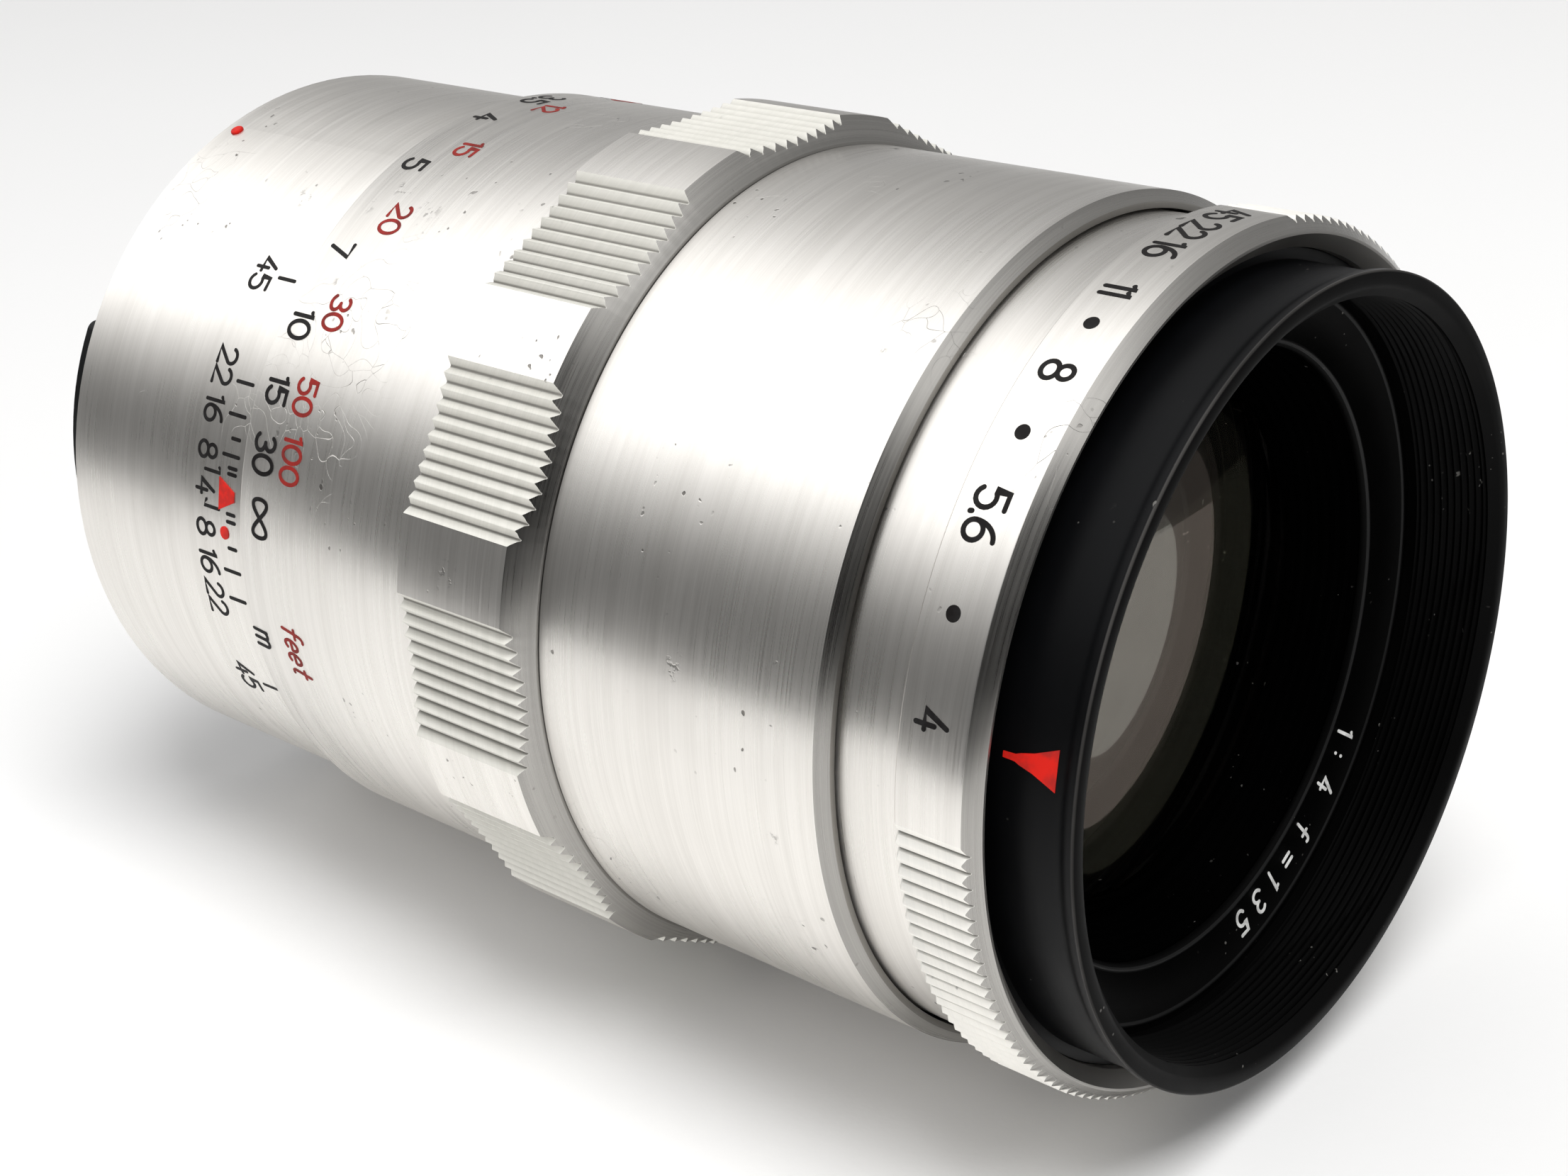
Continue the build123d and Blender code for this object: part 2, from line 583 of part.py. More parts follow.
def rear_cell():
    """Mount of the cemented rear pair, inside the head tube."""
    return spun(
        (REAR_CELL_STOP_R, HEAD_FRONT_Y), (HEAD_BORE_R, HEAD_FRONT_Y), (HEAD_BORE_R, REAR_CELL_REAR_Y),
        (REAR_SEAT_R, REAR_CELL_REAR_Y), (REAR_SEAT_R, REAR_GLASS_REAR_Y),
        (REAR_GLASS_R, REAR_GLASS_REAR_Y), (REAR_GLASS_R, REAR_GLASS_Y),
        (REAR_CELL_STOP_R, REAR_GLASS_Y - 0.15),
    )


def rear_retainer():
    """Slim ring that holds the rear elements in their cell."""
    return spun(
        (REAR_GLASS_R - 0.8, REAR_GLASS_REAR_Y + EDGE), (REAR_GLASS_R, REAR_GLASS_REAR_Y),
        (REAR_SEAT_R, REAR_GLASS_REAR_Y), (REAR_SEAT_R, REAR_CELL_REAR_Y - 0.2),
        (REAR_GLASS_R, REAR_CELL_REAR_Y - 0.2),
    )


def front_element():
    """Convex front lens."""
    return lens(FRONT_GLASS_R, FRONT_GLASS_Y, FRONT_GLASS_REAR_Y, *FRONT_CURVES)


def element_spacer():
    """Ring between the front and middle elements."""
    return tube(FRONT_GLASS_R, MIDDLE_GLASS_R - 0.6, FRONT_GLASS_REAR_Y, MIDDLE_GLASS_Y)


def middle_element():
    """Lens between the front element and the iris."""
    return lens(MIDDLE_GLASS_R, MIDDLE_GLASS_Y, MIDDLE_GLASS_REAR_Y, *MIDDLE_CURVES)


def rear_element_front():
    """Front half of the cemented rear pair."""
    return lens(REAR_GLASS_R, REAR_GLASS_Y, REAR_JOINT_Y, *REAR_FRONT_CURVES)


def rear_element_back():
    """Back half of the cemented rear pair."""
    return lens(REAR_GLASS_R, REAR_JOINT_Y, REAR_GLASS_REAR_Y, *REAR_BACK_CURVES)


PARTS = {
    "rear_barrel": rear_barrel,
    "mount_ring": mount_ring,
    "mount_screws": mount_screws,
    "alignment_dot": alignment_dot,
    "guide_key": guide_key,
    "guide_key_screws": guide_key_screws,
    "focus_ring": focus_ring,
    "focus_helicoid": focus_helicoid,
    "focus_ring_screws": focus_ring_screws,
    "main_barrel": main_barrel,
    "head_tube": head_tube,
    "captive_ring": captive_ring,
    "light_baffle": light_baffle,
    "iris_housing": iris_housing,
    "iris_cover": iris_cover,
    "iris_actuator": iris_actuator,
    "aperture_ring": aperture_ring,
    "aperture_link_pin": aperture_link_pin,
    "front_ring": front_ring,
    "name_ring": name_ring,
    "front_cell": front_cell,
    "front_retainer": front_retainer,
    "front_element": front_element,
    "element_spacer": element_spacer,
    "middle_element": middle_element,
    "rear_cell": rear_cell,
    "rear_element_front": rear_element_front,
    "rear_element_back": rear_element_back,
    "rear_retainer": rear_retainer,
}

os.makedirs("parts", exist_ok=True)
for name, build in PARTS.items():
    export_step(build(), f"parts/{name}.step")
for number in range(BLADES):
    export_step(iris_blade(number), f"parts/iris_blade_{number + 1:02d}.step")
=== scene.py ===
"""Looks of the lens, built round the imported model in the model's own frame.

The optical axis is Y and the front of the lens faces -Y. Sizes are given in millimetres and turned into
metres where a mesh is made. Angles go clockwise from the top as seen from the front, in degrees.
"""
import json
import math

import bmesh
import bpy
from mathutils import Matrix, Vector


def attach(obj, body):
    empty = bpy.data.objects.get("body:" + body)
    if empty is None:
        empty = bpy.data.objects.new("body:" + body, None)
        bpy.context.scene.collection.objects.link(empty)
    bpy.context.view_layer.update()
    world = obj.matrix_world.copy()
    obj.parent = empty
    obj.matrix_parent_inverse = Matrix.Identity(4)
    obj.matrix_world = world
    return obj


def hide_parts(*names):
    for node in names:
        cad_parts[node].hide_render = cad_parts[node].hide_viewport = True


MM = 0.001
FLOOR_Z = -29.64

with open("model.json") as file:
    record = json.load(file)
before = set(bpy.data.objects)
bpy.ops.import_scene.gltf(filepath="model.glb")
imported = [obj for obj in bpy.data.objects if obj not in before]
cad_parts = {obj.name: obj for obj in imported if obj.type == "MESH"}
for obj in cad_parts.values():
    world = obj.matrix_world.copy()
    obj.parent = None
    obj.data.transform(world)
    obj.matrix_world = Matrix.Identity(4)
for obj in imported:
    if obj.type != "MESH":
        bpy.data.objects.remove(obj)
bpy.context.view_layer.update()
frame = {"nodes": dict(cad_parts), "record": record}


# ---------------------------------------------------------------- small helpers

def point(radius, angle, y):
    """Point in metres at a radius, an angle and a place along the axis."""
    turn = math.radians(angle)
    return Vector((radius * math.sin(turn), y, radius * math.cos(turn))) * MM


def add_object(name, mesh, material):
    """Link a mesh as an object with one material."""
    mesh.materials.append(material)
    made = bpy.data.objects.new(name, mesh)
    bpy.context.scene.collection.objects.link(made)
    return made


def ring(name, columns, material, body, replaced, sharp=28.0, others=()):
    """Closed ring from columns, each an angle with its profile of (y, radius, painted shade, partly
    grime) round the section.

    others are further materials, each with a test of (column, row) that says which faces take it.
    """
    mesh = bpy.data.meshes.new(name)
    rows = len(columns[0][1])
    verts = [point(radius, angle, y) for angle, profile in columns for y, radius, _ in profile]
    faces = []
    for c in range(len(columns)):
        here, there = c * rows, (c + 1) % len(columns) * rows
        for k in range(rows):
            up = (k + 1) % rows
            faces.append((here + k, there + k, there + up, here + up))
    mesh.from_pydata(verts, [], faces)
    # Per-point strength of the painted shade in grooves and corners, partly grime
    shade_and_grime = mesh.attributes.new("shade_and_grime", "FLOAT", "POINT")
    shade_and_grime.data.foreach_set("value", [g for _, profile in columns for _, _, g in profile])
    shape = bmesh.new()
    shape.from_mesh(mesh)
    bmesh.ops.recalc_face_normals(shape, faces=shape.faces)
    shape.to_mesh(mesh)
    shape.free()
    mesh.shade_smooth()
    mesh.set_sharp_from_angle(angle=math.radians(sharp))
    made = add_object(name, mesh, material)
    for slot, (other, takes) in enumerate(others, 1):
        mesh.materials.append(other)
        for face in mesh.polygons:
            if takes(face.index // rows, face.index % rows):
                face.material_index = slot
    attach(made, body)
    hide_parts(replaced)
    return made


def sag(curve, radius):
    """Depth of a spherical surface at a radius from the axis; a hollow curve is negative."""
    return math.copysign(abs(curve) - math.sqrt(curve ** 2 - radius ** 2), curve)


def glass_body(name, front, rear, radius, coatings, body):
    """Thin closed lens.

    front and rear are (pole, curve) pairs, and coatings are those of the front, the rear and the edge.
    """
    rings, spokes = 20, 128
    mesh = bpy.data.meshes.new(name)
    verts = [point(0, 0, front[0]), point(0, 0, rear[0])]
    for pole, curve in (front, rear):
        for k in range(1, rings + 1):
            reach = radius * k / rings
            verts += [point(reach, 360 / spokes * n, pole + sag(curve, reach)) for n in range(spokes)]

    def at(side, k, n):
        return 2 + (side * rings + k - 1) * spokes + n % spokes

    front_faces, rear_faces, edge_faces = [], [], []
    for n in range(spokes):
        front_faces.append((0, at(0, 1, n), at(0, 1, n + 1)))
        rear_faces.append((1, at(1, 1, n + 1), at(1, 1, n)))
        edge_faces.append((at(0, rings, n), at(1, rings, n), at(1, rings, n + 1), at(0, rings, n + 1)))
        for k in range(1, rings):
            front_faces.append((at(0, k, n), at(0, k + 1, n), at(0, k + 1, n + 1), at(0, k, n + 1)))
            rear_faces.append((at(1, k, n + 1), at(1, k + 1, n + 1), at(1, k + 1, n), at(1, k, n)))
    mesh.from_pydata(verts, [], front_faces + rear_faces + edge_faces)
    mesh.shade_smooth()
    mesh.set_sharp_from_angle(angle=math.radians(60))
    made = add_object(name, mesh, coatings[0])
    for coating in coatings[1:]:
        mesh.materials.append(coating)
    slots = [0] * len(front_faces) + [1] * len(rear_faces) + [2] * len(edge_faces)
    mesh.polygons.foreach_set("material_index", slots)
    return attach(made, body)


# ---------------------------------------------------------------- materials

class Graph:
    """Short way to write shader nodes. Values may be numbers, tuples or sockets."""

    def __init__(self, name):
        self.material = bpy.data.materials.new(name)
        self.material.use_nodes = True
        self.tree = self.material.node_tree
        self.tree.nodes.clear()
        self.shader = self.tree.nodes.new("ShaderNodeBsdfPrincipled")
        output = self.tree.nodes.new("ShaderNodeOutputMaterial")
        self.tree.links.new(self.shader.outputs[0], output.inputs[0])

    def node(self, kind, inputs=(), **settings):
        made = self.tree.nodes.new("ShaderNode" + kind)
        for key, value in settings.items():
            setattr(made, key, value)
        for key, value in dict(inputs).items():
            self.feed(made.inputs[key], value)
        return made

    def feed(self, socket, value):
        if isinstance(value, bpy.types.NodeSocket):
            self.tree.links.new(value, socket)
        else:
            socket.default_value = value

    def set(self, **values):
        """Set the shader's own sockets; underscores stand for spaces."""
        for key, value in values.items():
            self.feed(self.shader.inputs[key.replace("_", " ")], value)

    def math(self, operation, a, b=0.0, c=0.0):
        return self.node("Math", {0: a, 1: b, 2: c}, operation=operation).outputs[0]

    def spread(self, value, low, high, to_low=0.0, to_high=1.0):
        """Map a value from one range to another, clamped."""
        inputs = {"Value": value, "From Min": low, "From Max": high, "To Min": to_low, "To Max": to_high}
        return self.node("MapRange", inputs, interpolation_type="SMOOTHSTEP").outputs["Result"]

    def noise(self, vector, scale, detail=3.0, roughness=0.55):
        inputs = {"Vector": vector, "Scale": scale, "Detail": detail, "Roughness": roughness}
        return self.node("TexNoise", inputs).outputs["Fac"]

    def mix(self, share, a, b):
        made = self.node("Mix", data_type="RGBA")
        self.feed(made.inputs[0], share)
        self.feed(made.inputs[6], a)
        self.feed(made.inputs[7], b)
        return made.outputs[2]

    def place(self):
        """Sockets for the position, its x, y and z, and the radius from the axis."""
        position = self.node("TexCoord").outputs["Object"]
        parts = self.node("SeparateXYZ", {0: position})
        x, y, z = parts.outputs
        radius = self.math("SQRT", self.math("MULTIPLY_ADD", x, x, self.math("MULTIPLY", z, z)))
        return position, x, y, z, radius

    def turned(self, x, y, z, radius, fine, along):
        """Noise stretched round the axis, as a lathe tool leaves it."""
        across = self.math("MULTIPLY", self.math("ADD", y, radius), fine)
        stretched = self.node("CombineXYZ", {
            0: self.math("MULTIPLY", x, along), 1: across, 2: self.math("MULTIPLY", z, along),
        }).outputs[0]
        return self.noise(stretched, 1.0, 4.0, 0.65)

    def bump(self, height, distance, strength=1.0, normal=None):
        inputs = {"Height": height, "Distance": distance, "Strength": strength}
        if normal is not None:
            inputs["Normal"] = normal
        return self.node("Bump", inputs).outputs[0]


# Small knocks and rubbed marks: radius, angle and place along the axis, then size
SCARS = [
    (28.3, -78.6, -62.7, 1.2), (28.3, -74.5, -70.5, 0.7), (28.3, -97.0, -70.0, 0.6),
    (28.3, -35.0, -70.0, 0.5), (30.1, -75.5, -44.5, 1.1), (28.45, -26.0, -24.8, 1.2),
    (28.45, -30.5, -22.9, 0.9), (28.45, -29.0, -28.6, 1.4), (28.45, -43.0, -25.0, 0.7),
    (27.6, -30.0, -15.0, 1.3), (28.2, -27.0, -84.2, 0.6), (27.6, 120.0, -9.0, 1.2),
    (28.3, 60.0, -60.0, 1.0), (28.3, 170.0, -68.0, 1.2),
]
SCUFF_COLOUR = (0.33, 0.31, 0.28, 1)
SPECK_COLOUR = (0.09, 0.08, 0.07, 1)
# Colour of the painted shade in grooves and corners, partly grime
SHADE_AND_GRIME_COLOUR = (0.075, 0.068, 0.058, 1)
SCUFF_DEPTH = 0.00003            # metres
CORNER_REACH = 0.0009            # metres that the painted corner shade reaches out of a corner


def turned_metal(name, light, dark, roughness, anisotropy, line_depth, wear=1.0, metallic=1.0, scars=()):
    """Lathe-turned metal with fine lines, specks, scuffs and knocks, and painted shade, partly grime, in
    its grooves and corners.

    wear is the strength of the specks and scuffs, and scars are single knocks at given places.
    """
    g = Graph(name)
    position, x, y, z, radius = g.place()
    lines = g.turned(x, y, z, radius, 9000.0, 70.0)
    bands = g.turned(x, y, z, radius, 1500.0, 22.0)
    clouds = g.noise(position, 70.0, 4.0, 0.6)
    specks = g.math(
        "MULTIPLY",
        g.spread(g.noise(position, 1500.0, 1.0), 0.71, 0.76),
        g.spread(g.noise(position, 120.0, 2.0), 0.56, 0.68),
    )
    bent = g.node("Mix", {0: 0.12}, data_type="VECTOR")
    g.feed(bent.inputs[4], position)
    g.feed(bent.inputs[5], g.node("TexNoise", {"Vector": position, "Scale": 90.0}).outputs["Color"])
    cells = g.node("TexVoronoi", {"Vector": bent.outputs[1], "Scale": 85.0}, feature="DISTANCE_TO_EDGE")
    scuffs = g.math(
        "MULTIPLY",
        g.spread(cells.outputs["Distance"], 0.0, 0.006, 1.0, 0.0),
        g.spread(g.noise(position, 60.0, 3.0), 0.56, 0.66),
    )
    ragged = g.spread(g.noise(position, 1300.0, 3.0, 0.7), 0.52, 0.62, 0.0, 0.55)
    for scar_radius, angle, along, size in scars:
        middle = point(scar_radius, angle, along)
        gap = g.node("VectorMath", {0: position, 1: middle}, operation="DISTANCE").outputs["Value"]
        knock = g.math("MULTIPLY", ragged, g.spread(gap, 0.3 * size * MM, size * MM, 1.0, 0.0))
        specks = g.math("MAXIMUM", specks, knock)
    # Painted shade, partly grime: a per-point weight from the rings and an ambient occlusion mask darken
    # grooves and corners
    shade_and_grime = g.node("Attribute", attribute_name="shade_and_grime").outputs["Fac"]
    corners = g.node("AmbientOcclusion", {"Distance": CORNER_REACH}, samples=6).outputs["AO"]
    painted_shade_and_grime = g.math("MAXIMUM", g.math("MULTIPLY", shade_and_grime, 0.7), g.spread(corners, 0.08, 0.32, 0.7, 0.0))
    grain = g.math("ADD", g.math("MULTIPLY", lines, 0.5), g.math("MULTIPLY", bands, 0.5))
    tone = g.mix(g.spread(grain, 0.32, 0.68), dark, light)
    tone = g.mix(g.math("MULTIPLY", g.spread(clouds, 0.5, 0.75), 0.25), tone, dark)
    tone = g.mix(g.math("MULTIPLY", scuffs, 0.45 * wear), tone, SCUFF_COLOUR)
    tone = g.mix(g.math("MULTIPLY", specks, 0.8 * wear), tone, SPECK_COLOUR)
    tone = g.mix(painted_shade_and_grime, tone, SHADE_AND_GRIME_COLOUR)
    rough = g.spread(lines, 0.3, 0.7, roughness - 0.05, roughness + 0.05)
    rough = g.math("ADD", rough, g.math("MULTIPLY", painted_shade_and_grime, 0.35))
    rough = g.math("MULTIPLY_ADD", g.spread(clouds, 0.4, 0.7), 0.06, rough)
    height = g.math("MULTIPLY_ADD", lines, 0.45, g.math("MULTIPLY", bands, 0.55))
    normal = g.bump(height, line_depth)
    normal = g.bump(g.math("ADD", scuffs, specks), -SCUFF_DEPTH, 0.6 * wear, normal)
    tangent = g.node("Tangent", direction_type="RADIAL", axis="Y").outputs[0]
    g.set(
        Base_Color=tone, Metallic=metallic, Roughness=rough, Normal=normal, Anisotropic=anisotropy,
        Anisotropic_Rotation=0.25, Tangent=tangent,
    )
    return g.material


RUBBED_R = (0.02560, 0.02572)    # radii in metres between which the rim's wear fades in
RUBBED_Y = (-0.08946, -0.08938)  # and places along the axis between which it fades out
RUBBED_COLOUR = (0.22, 0.21, 0.20, 1)
DUST_COLOUR = (0.30, 0.29, 0.27, 1)


def black_anodised(name, base, roughness, shine):
    """Black anodised metal with faint turning lines, dust and a rubbed rim."""
    g = Graph(name)
    position, x, y, z, radius = g.place()
    lines = g.turned(x, y, z, radius, 7000.0, 60.0)
    clouds = g.noise(position, 90.0, 4.0, 0.6)
    dust = g.math(
        "MULTIPLY",
        g.spread(g.noise(position, 2100.0, 1.0), 0.73, 0.76),
        g.spread(g.noise(position, 150.0, 2.0), 0.56, 0.66),
    )
    rim = g.math("MULTIPLY", g.spread(radius, *RUBBED_R), g.spread(y, *RUBBED_Y, 1.0, 0.0))
    worn = g.math("MULTIPLY", rim, g.spread(clouds, 0.3, 0.6, 0.5, 1.0))
    tone = g.mix(g.spread(clouds, 0.35, 0.7), base, tuple(c * 1.5 for c in base[:3]) + (1,))
    tone = g.mix(g.math("MULTIPLY", worn, 0.2), tone, RUBBED_COLOUR)
    tone = g.mix(g.math("MULTIPLY", dust, 0.4), tone, DUST_COLOUR)
    rough = g.spread(clouds, 0.3, 0.7, roughness - 0.05, roughness + 0.05)
    rough = g.math("MULTIPLY_ADD", lines, 0.10, rough)
    g.set(Base_Color=tone, Roughness=rough, Normal=g.bump(lines, 0.000003), Specular_IOR_Level=shine)
    return g.material


def paint(name, colour, roughness):
    """Filled engraving: enamel with small changes of tone and gloss."""
    g = Graph(name)
    position = g.place()[0]
    patches = g.noise(position, 800.0, 3.0, 0.6)
    thin = tuple(c * 0.55 + 0.01 for c in colour[:3]) + (1,)
    g.set(
        Base_Color=g.mix(g.spread(patches, 0.35, 0.7), colour, thin),
        Roughness=g.spread(patches, 0.3, 0.7, roughness - 0.08, roughness + 0.1),
        Normal=g.bump(patches, 0.00001), Specular_IOR_Level=0.12,
    )
    return g.material


def coated_glass(name):
    """Clear lens glass with faint dust on it."""
    g = Graph(name)
    position = g.place()[0]
    dust = g.math("MULTIPLY", g.spread(g.noise(position, 1700.0, 1.0), 0.72, 0.76), 0.5)
    g.set(
        Base_Color=g.mix(dust, (0.96, 0.95, 0.92, 1), (0.6, 0.58, 0.55, 1)),
        Roughness=g.math("MULTIPLY", dust, 0.3), IOR=1.62, Transmission_Weight=1.0,
    )
    return g.material


def lens_coating(name, tint, share):
    """Coated lens surface: mirrors a small tinted share of the light and lets the rest through."""
    g = Graph(name)
    position = g.place()[0]
    haze = g.noise(position, 300.0, 3.0, 0.6)
    faded = tuple(0.94 * c for c in tint[:3]) + (1,)
    g.set(
        Base_Color=g.mix(g.spread(haze, 0.4, 0.75), tint, faded), Metallic=1.0,
        Roughness=g.spread(haze, 0.3, 0.7, 0.004, 0.01), Alpha=share,
    )
    return g.material


TABLE_COLOURS = (0.86, 0.855, 0.85, 1), (0.88, 0.877, 0.872, 1)


def floor_material():
    """Plain matt white table."""
    g = Graph("table")
    position = g.place()[0]
    g.set(
        Base_Color=g.mix(g.noise(position, 9.0), *TABLE_COLOURS),
        Roughness=0.6, Normal=g.bump(g.noise(position, 900.0), 0.00002),
    )
    return g.material


ALUMINIUM = turned_metal(
    "satin_aluminium", (0.85, 0.825, 0.785, 1), (0.73, 0.705, 0.665, 1),
    0.30, 0.75, 0.0000022, scars=SCARS)
# Darker copy of the satin aluminium: painted shade on the bevels of the barrel and the aperture ring, and
# on the cone in front of the grip
SHADED_BEVEL_METAL = turned_metal(
    "shaded_bevel_aluminium", (0.43, 0.417, 0.395, 1), (0.33, 0.32, 0.303, 1),
    0.28, 0.7, 0.0000015, 0.5)
CUT_METAL = turned_metal(
    "cut_aluminium", (0.93, 0.91, 0.86, 1), (0.86, 0.845, 0.80, 1),
    0.62, 0.0, 0.0000012, 0.5, metallic=0.5)
TOOTH_METAL = turned_metal(
    "tooth_aluminium", (0.74, 0.725, 0.675, 1), (0.66, 0.65, 0.60, 1),
    0.62, 0.0, 0.0000012, 0.5, metallic=0.35)
STEEL = turned_metal(
    "turned_steel", (0.60, 0.60, 0.60, 1), (0.48, 0.48, 0.48, 1),
    0.28, 0.5, 0.0000015, 0.5)
BRASS = turned_metal(
    "turned_brass", (0.74, 0.58, 0.30, 1), (0.60, 0.45, 0.22, 1),
    0.28, 0.6, 0.0000020, 0.5)
BLADES = black_anodised("blued_blades", (0.0040, 0.0041, 0.0048, 1), 0.40, 0.15)
BLACK = black_anodised("black_anodised", (0.0014, 0.0015, 0.0018, 1), 0.36, 0.11)
DULL_BLACK = black_anodised("dull_black", (0.0008, 0.0008, 0.0008, 1), 0.45, 0.05)
BEAD_BLACK = black_anodised("bead_black", (0.0025, 0.0025, 0.0025, 1), 0.40, 0.22)
MATT_BLACK = black_anodised("matt_black", (0.0005, 0.0005, 0.0005, 1), 0.7, 0.0)
BLACK_PAINT = paint("black_filling", (0.005, 0.004, 0.004, 1), 0.5)
DARK_RED_PAINT = paint("dark_red_filling", (0.26, 0.018, 0.014, 1), 0.5)
RED_PAINT = paint("red_filling", (0.60, 0.014, 0.008, 1), 0.4)
WHITE_PAINT = paint("white_filling", (0.85, 0.85, 0.83, 1), 0.45)
GLASS = coated_glass("lens_glass")
FAINT_COATING = lens_coating("faint_coating", (0.75, 0.72, 0.95, 1), 0.006)
OLIVE_COATING = lens_coating("olive_coating", (1.0, 1.0, 0.70, 1), 0.008)
BROWN_COATING = lens_coating("brown_coating", (0.99, 0.82, 0.72, 1), 0.060)
CREAM_COATING = lens_coating("cream_coating", (0.98, 0.98, 0.89, 1), 0.106)

FINISHES = {
    "bright_aluminium": ALUMINIUM, "black_metal": BLACK, "brass": BRASS, "steel": STEEL,
    "blade_steel": BLADES, "red_enamel": RED_PAINT, "coated_glass": GLASS,
}
NODE_FINISHES = {
    "front_element": FAINT_COATING, "middle_element": FAINT_COATING,
    "front_retainer": MATT_BLACK, "light_baffle": MATT_BLACK, "iris_housing": MATT_BLACK,
    "iris_cover": MATT_BLACK, "front_cell": MATT_BLACK, "rear_cell": MATT_BLACK,
}

for row in frame["record"]["subparts"]:
    node = frame["nodes"][row["node"]]
    node.data.materials.clear()
    node.data.materials.append(NODE_FINISHES.get(row["node"], FINISHES[row["material_slot"]]))

GLASS_R = 17.0
outer_glass = glass_body(
    "outer_glass", (-76.55, -85.0), (-76.25, -94.0), GLASS_R,
    (OLIVE_COATING, BROWN_COATING, MATT_BLACK), "head")
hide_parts("front_element")
glass_body(
    "inner_glass", (-75.7, -95.0), (-73.5, 160.0), GLASS_R,
    (CREAM_COATING, FAINT_COATING, MATT_BLACK), "head")


# ---------------------------------------------------------------- focusing ring

FOCUS_FRONT_Y, CONE_REAR_Y, GRIP_REAR_Y, FOCUS_REAR_Y = -51.1, -49.5, -39.8, -21.2
COLLAR_R, LAND_R, FOCUS_R = 28.5, 30.1, 28.45
FOCUS_BORE_R, FLANGE_R, SEAT_R = 27.7, 27.2, 25.7
SEAT_FRONT_Y, SEAT_REAR_Y = -48.6, -46.7
LANDS, HOLLOW_HALF, TEETH = 12, 10.0, 10
DIP, GROOVE_DEPTH = 0.65, 0.45
TOOTH_ROWS = (3, 4, 5, 6)        # faces along the grip; the cone's faces come before them


def hollow_tip(offset):
    """Radius of the tooth tips across a hollow of the grip."""
    return LAND_R - DIP * (1 - (offset / HOLLOW_HALF) ** 2)


def grip_outline():
    """Angles with the grip's radius and the painted shade, partly grime, there, right round the ring."""
    outline = []
    pitch = 2 * HOLLOW_HALF / TEETH
    for land in range(LANDS):
        middle = 360 / LANDS * land
        for k in range(TEETH):
            root = -HOLLOW_HALF + pitch * (k + 0.5)
            floor = hollow_tip(root) - GROOVE_DEPTH
            tip = root + pitch / 2
            # Groove floors get full painted shade, partly grime; the flanks get a quarter
            outline += [(middle + root - 0.07, floor, 1.0), (middle + root + 0.07, floor, 1.0)]
            outline += [(middle + root + 0.25, floor + 0.11, 0.25)]
            outline += [(middle + tip - 0.25, hollow_tip(tip) - 0.11, 0.0)]
            outline += [(middle + tip - 0.05, hollow_tip(tip), 0.0)]
            if k < TEETH - 1:
                outline += [(middle + tip + 0.05, hollow_tip(tip), 0.0)]
                outline += [(middle + tip + 0.25, hollow_tip(tip) - 0.11, 0.0)]
                outline += [(middle + tip + 0.75, hollow_tip(tip) - 0.34, 0.25)]
        start = middle + HOLLOW_HALF
        outline += [(start + k, LAND_R, 0.0) for k in range(11)]
        outline += [(start + 10.25, LAND_R - 0.11, 0.0), (start + 10.75, LAND_R - 0.40, 0.25)]
    return outline


OUTLINE = grip_outline()


def focus_columns():
    """Columns of the focusing ring."""
    columns = []
    for angle, grip, shade_and_grime in OUTLINE:
        share = max((grip - COLLAR_R) / (LAND_R - COLLAR_R), 0.03)
        meet = FOCUS_FRONT_Y + share * (CONE_REAR_Y - FOCUS_FRONT_Y)
        # Third values: painted shade, partly grime, in the corners, the bore and along the grip
        columns.append((angle, [
            (FOCUS_FRONT_Y, FLANGE_R, 0.3), (FOCUS_FRONT_Y, COLLAR_R - 0.06, 0.3),
            (FOCUS_FRONT_Y + 0.03, COLLAR_R, 0.1), (meet - 0.02, grip - 0.02, 0.0),
            (meet + 0.06, grip, shade_and_grime), (GRIP_REAR_Y - 0.08, grip, shade_and_grime),
            (GRIP_REAR_Y, grip - 0.08, shade_and_grime),
            (GRIP_REAR_Y, FOCUS_R + 0.1, 0.5), (GRIP_REAR_Y + 0.1, FOCUS_R, 0.4),
            (GRIP_REAR_Y + 0.5, FOCUS_R, 0.0),
            (FOCUS_REAR_Y - 0.25, FOCUS_R, 0.0), (FOCUS_REAR_Y - 0.07, FOCUS_R - 0.07, 0.0),
            (FOCUS_REAR_Y, FOCUS_R - 0.25, 0.0), (FOCUS_REAR_Y, FOCUS_BORE_R, 0.6),
            (SEAT_REAR_Y, FOCUS_BORE_R, 0.0), (SEAT_REAR_Y, SEAT_R, 0.0), (SEAT_FRONT_Y, SEAT_R, 0.0),
            (SEAT_FRONT_Y, FLANGE_R, 0.0),
        ]))
    return columns


def is_tooth(column, row):
    """Faces of the grip's teeth, between the cone and the rear face."""
    grips = [grip for _, grip, _ in (OUTLINE[column], OUTLINE[(column + 1) % len(OUTLINE)])]
    return row in TOOTH_ROWS and min(grips) < LAND_R - 0.03


def is_cone(_, row):
    """Faces of the cone in front of the grip."""
    return row < TOOTH_ROWS[0]


# The front face and cone in front of the grip take the darker aluminium copy, painted shade
ring("focusing_ring", focus_columns(), ALUMINIUM, "focusing", "focus_ring",
     others=[(TOOTH_METAL, is_tooth), (SHADED_BEVEL_METAL, is_cone)])


# ---------------------------------------------------------------- main barrel

BARREL_FRONT_Y, BARREL_REAR_Y, WEB_FRONT_Y = -74.2, -51.2, -54.1
BARREL_R, BARREL_BORE_R, WEB_R, BARREL_EDGE = 28.3, 27.2, 23.4, 0.7
BARREL_SIDES = 360

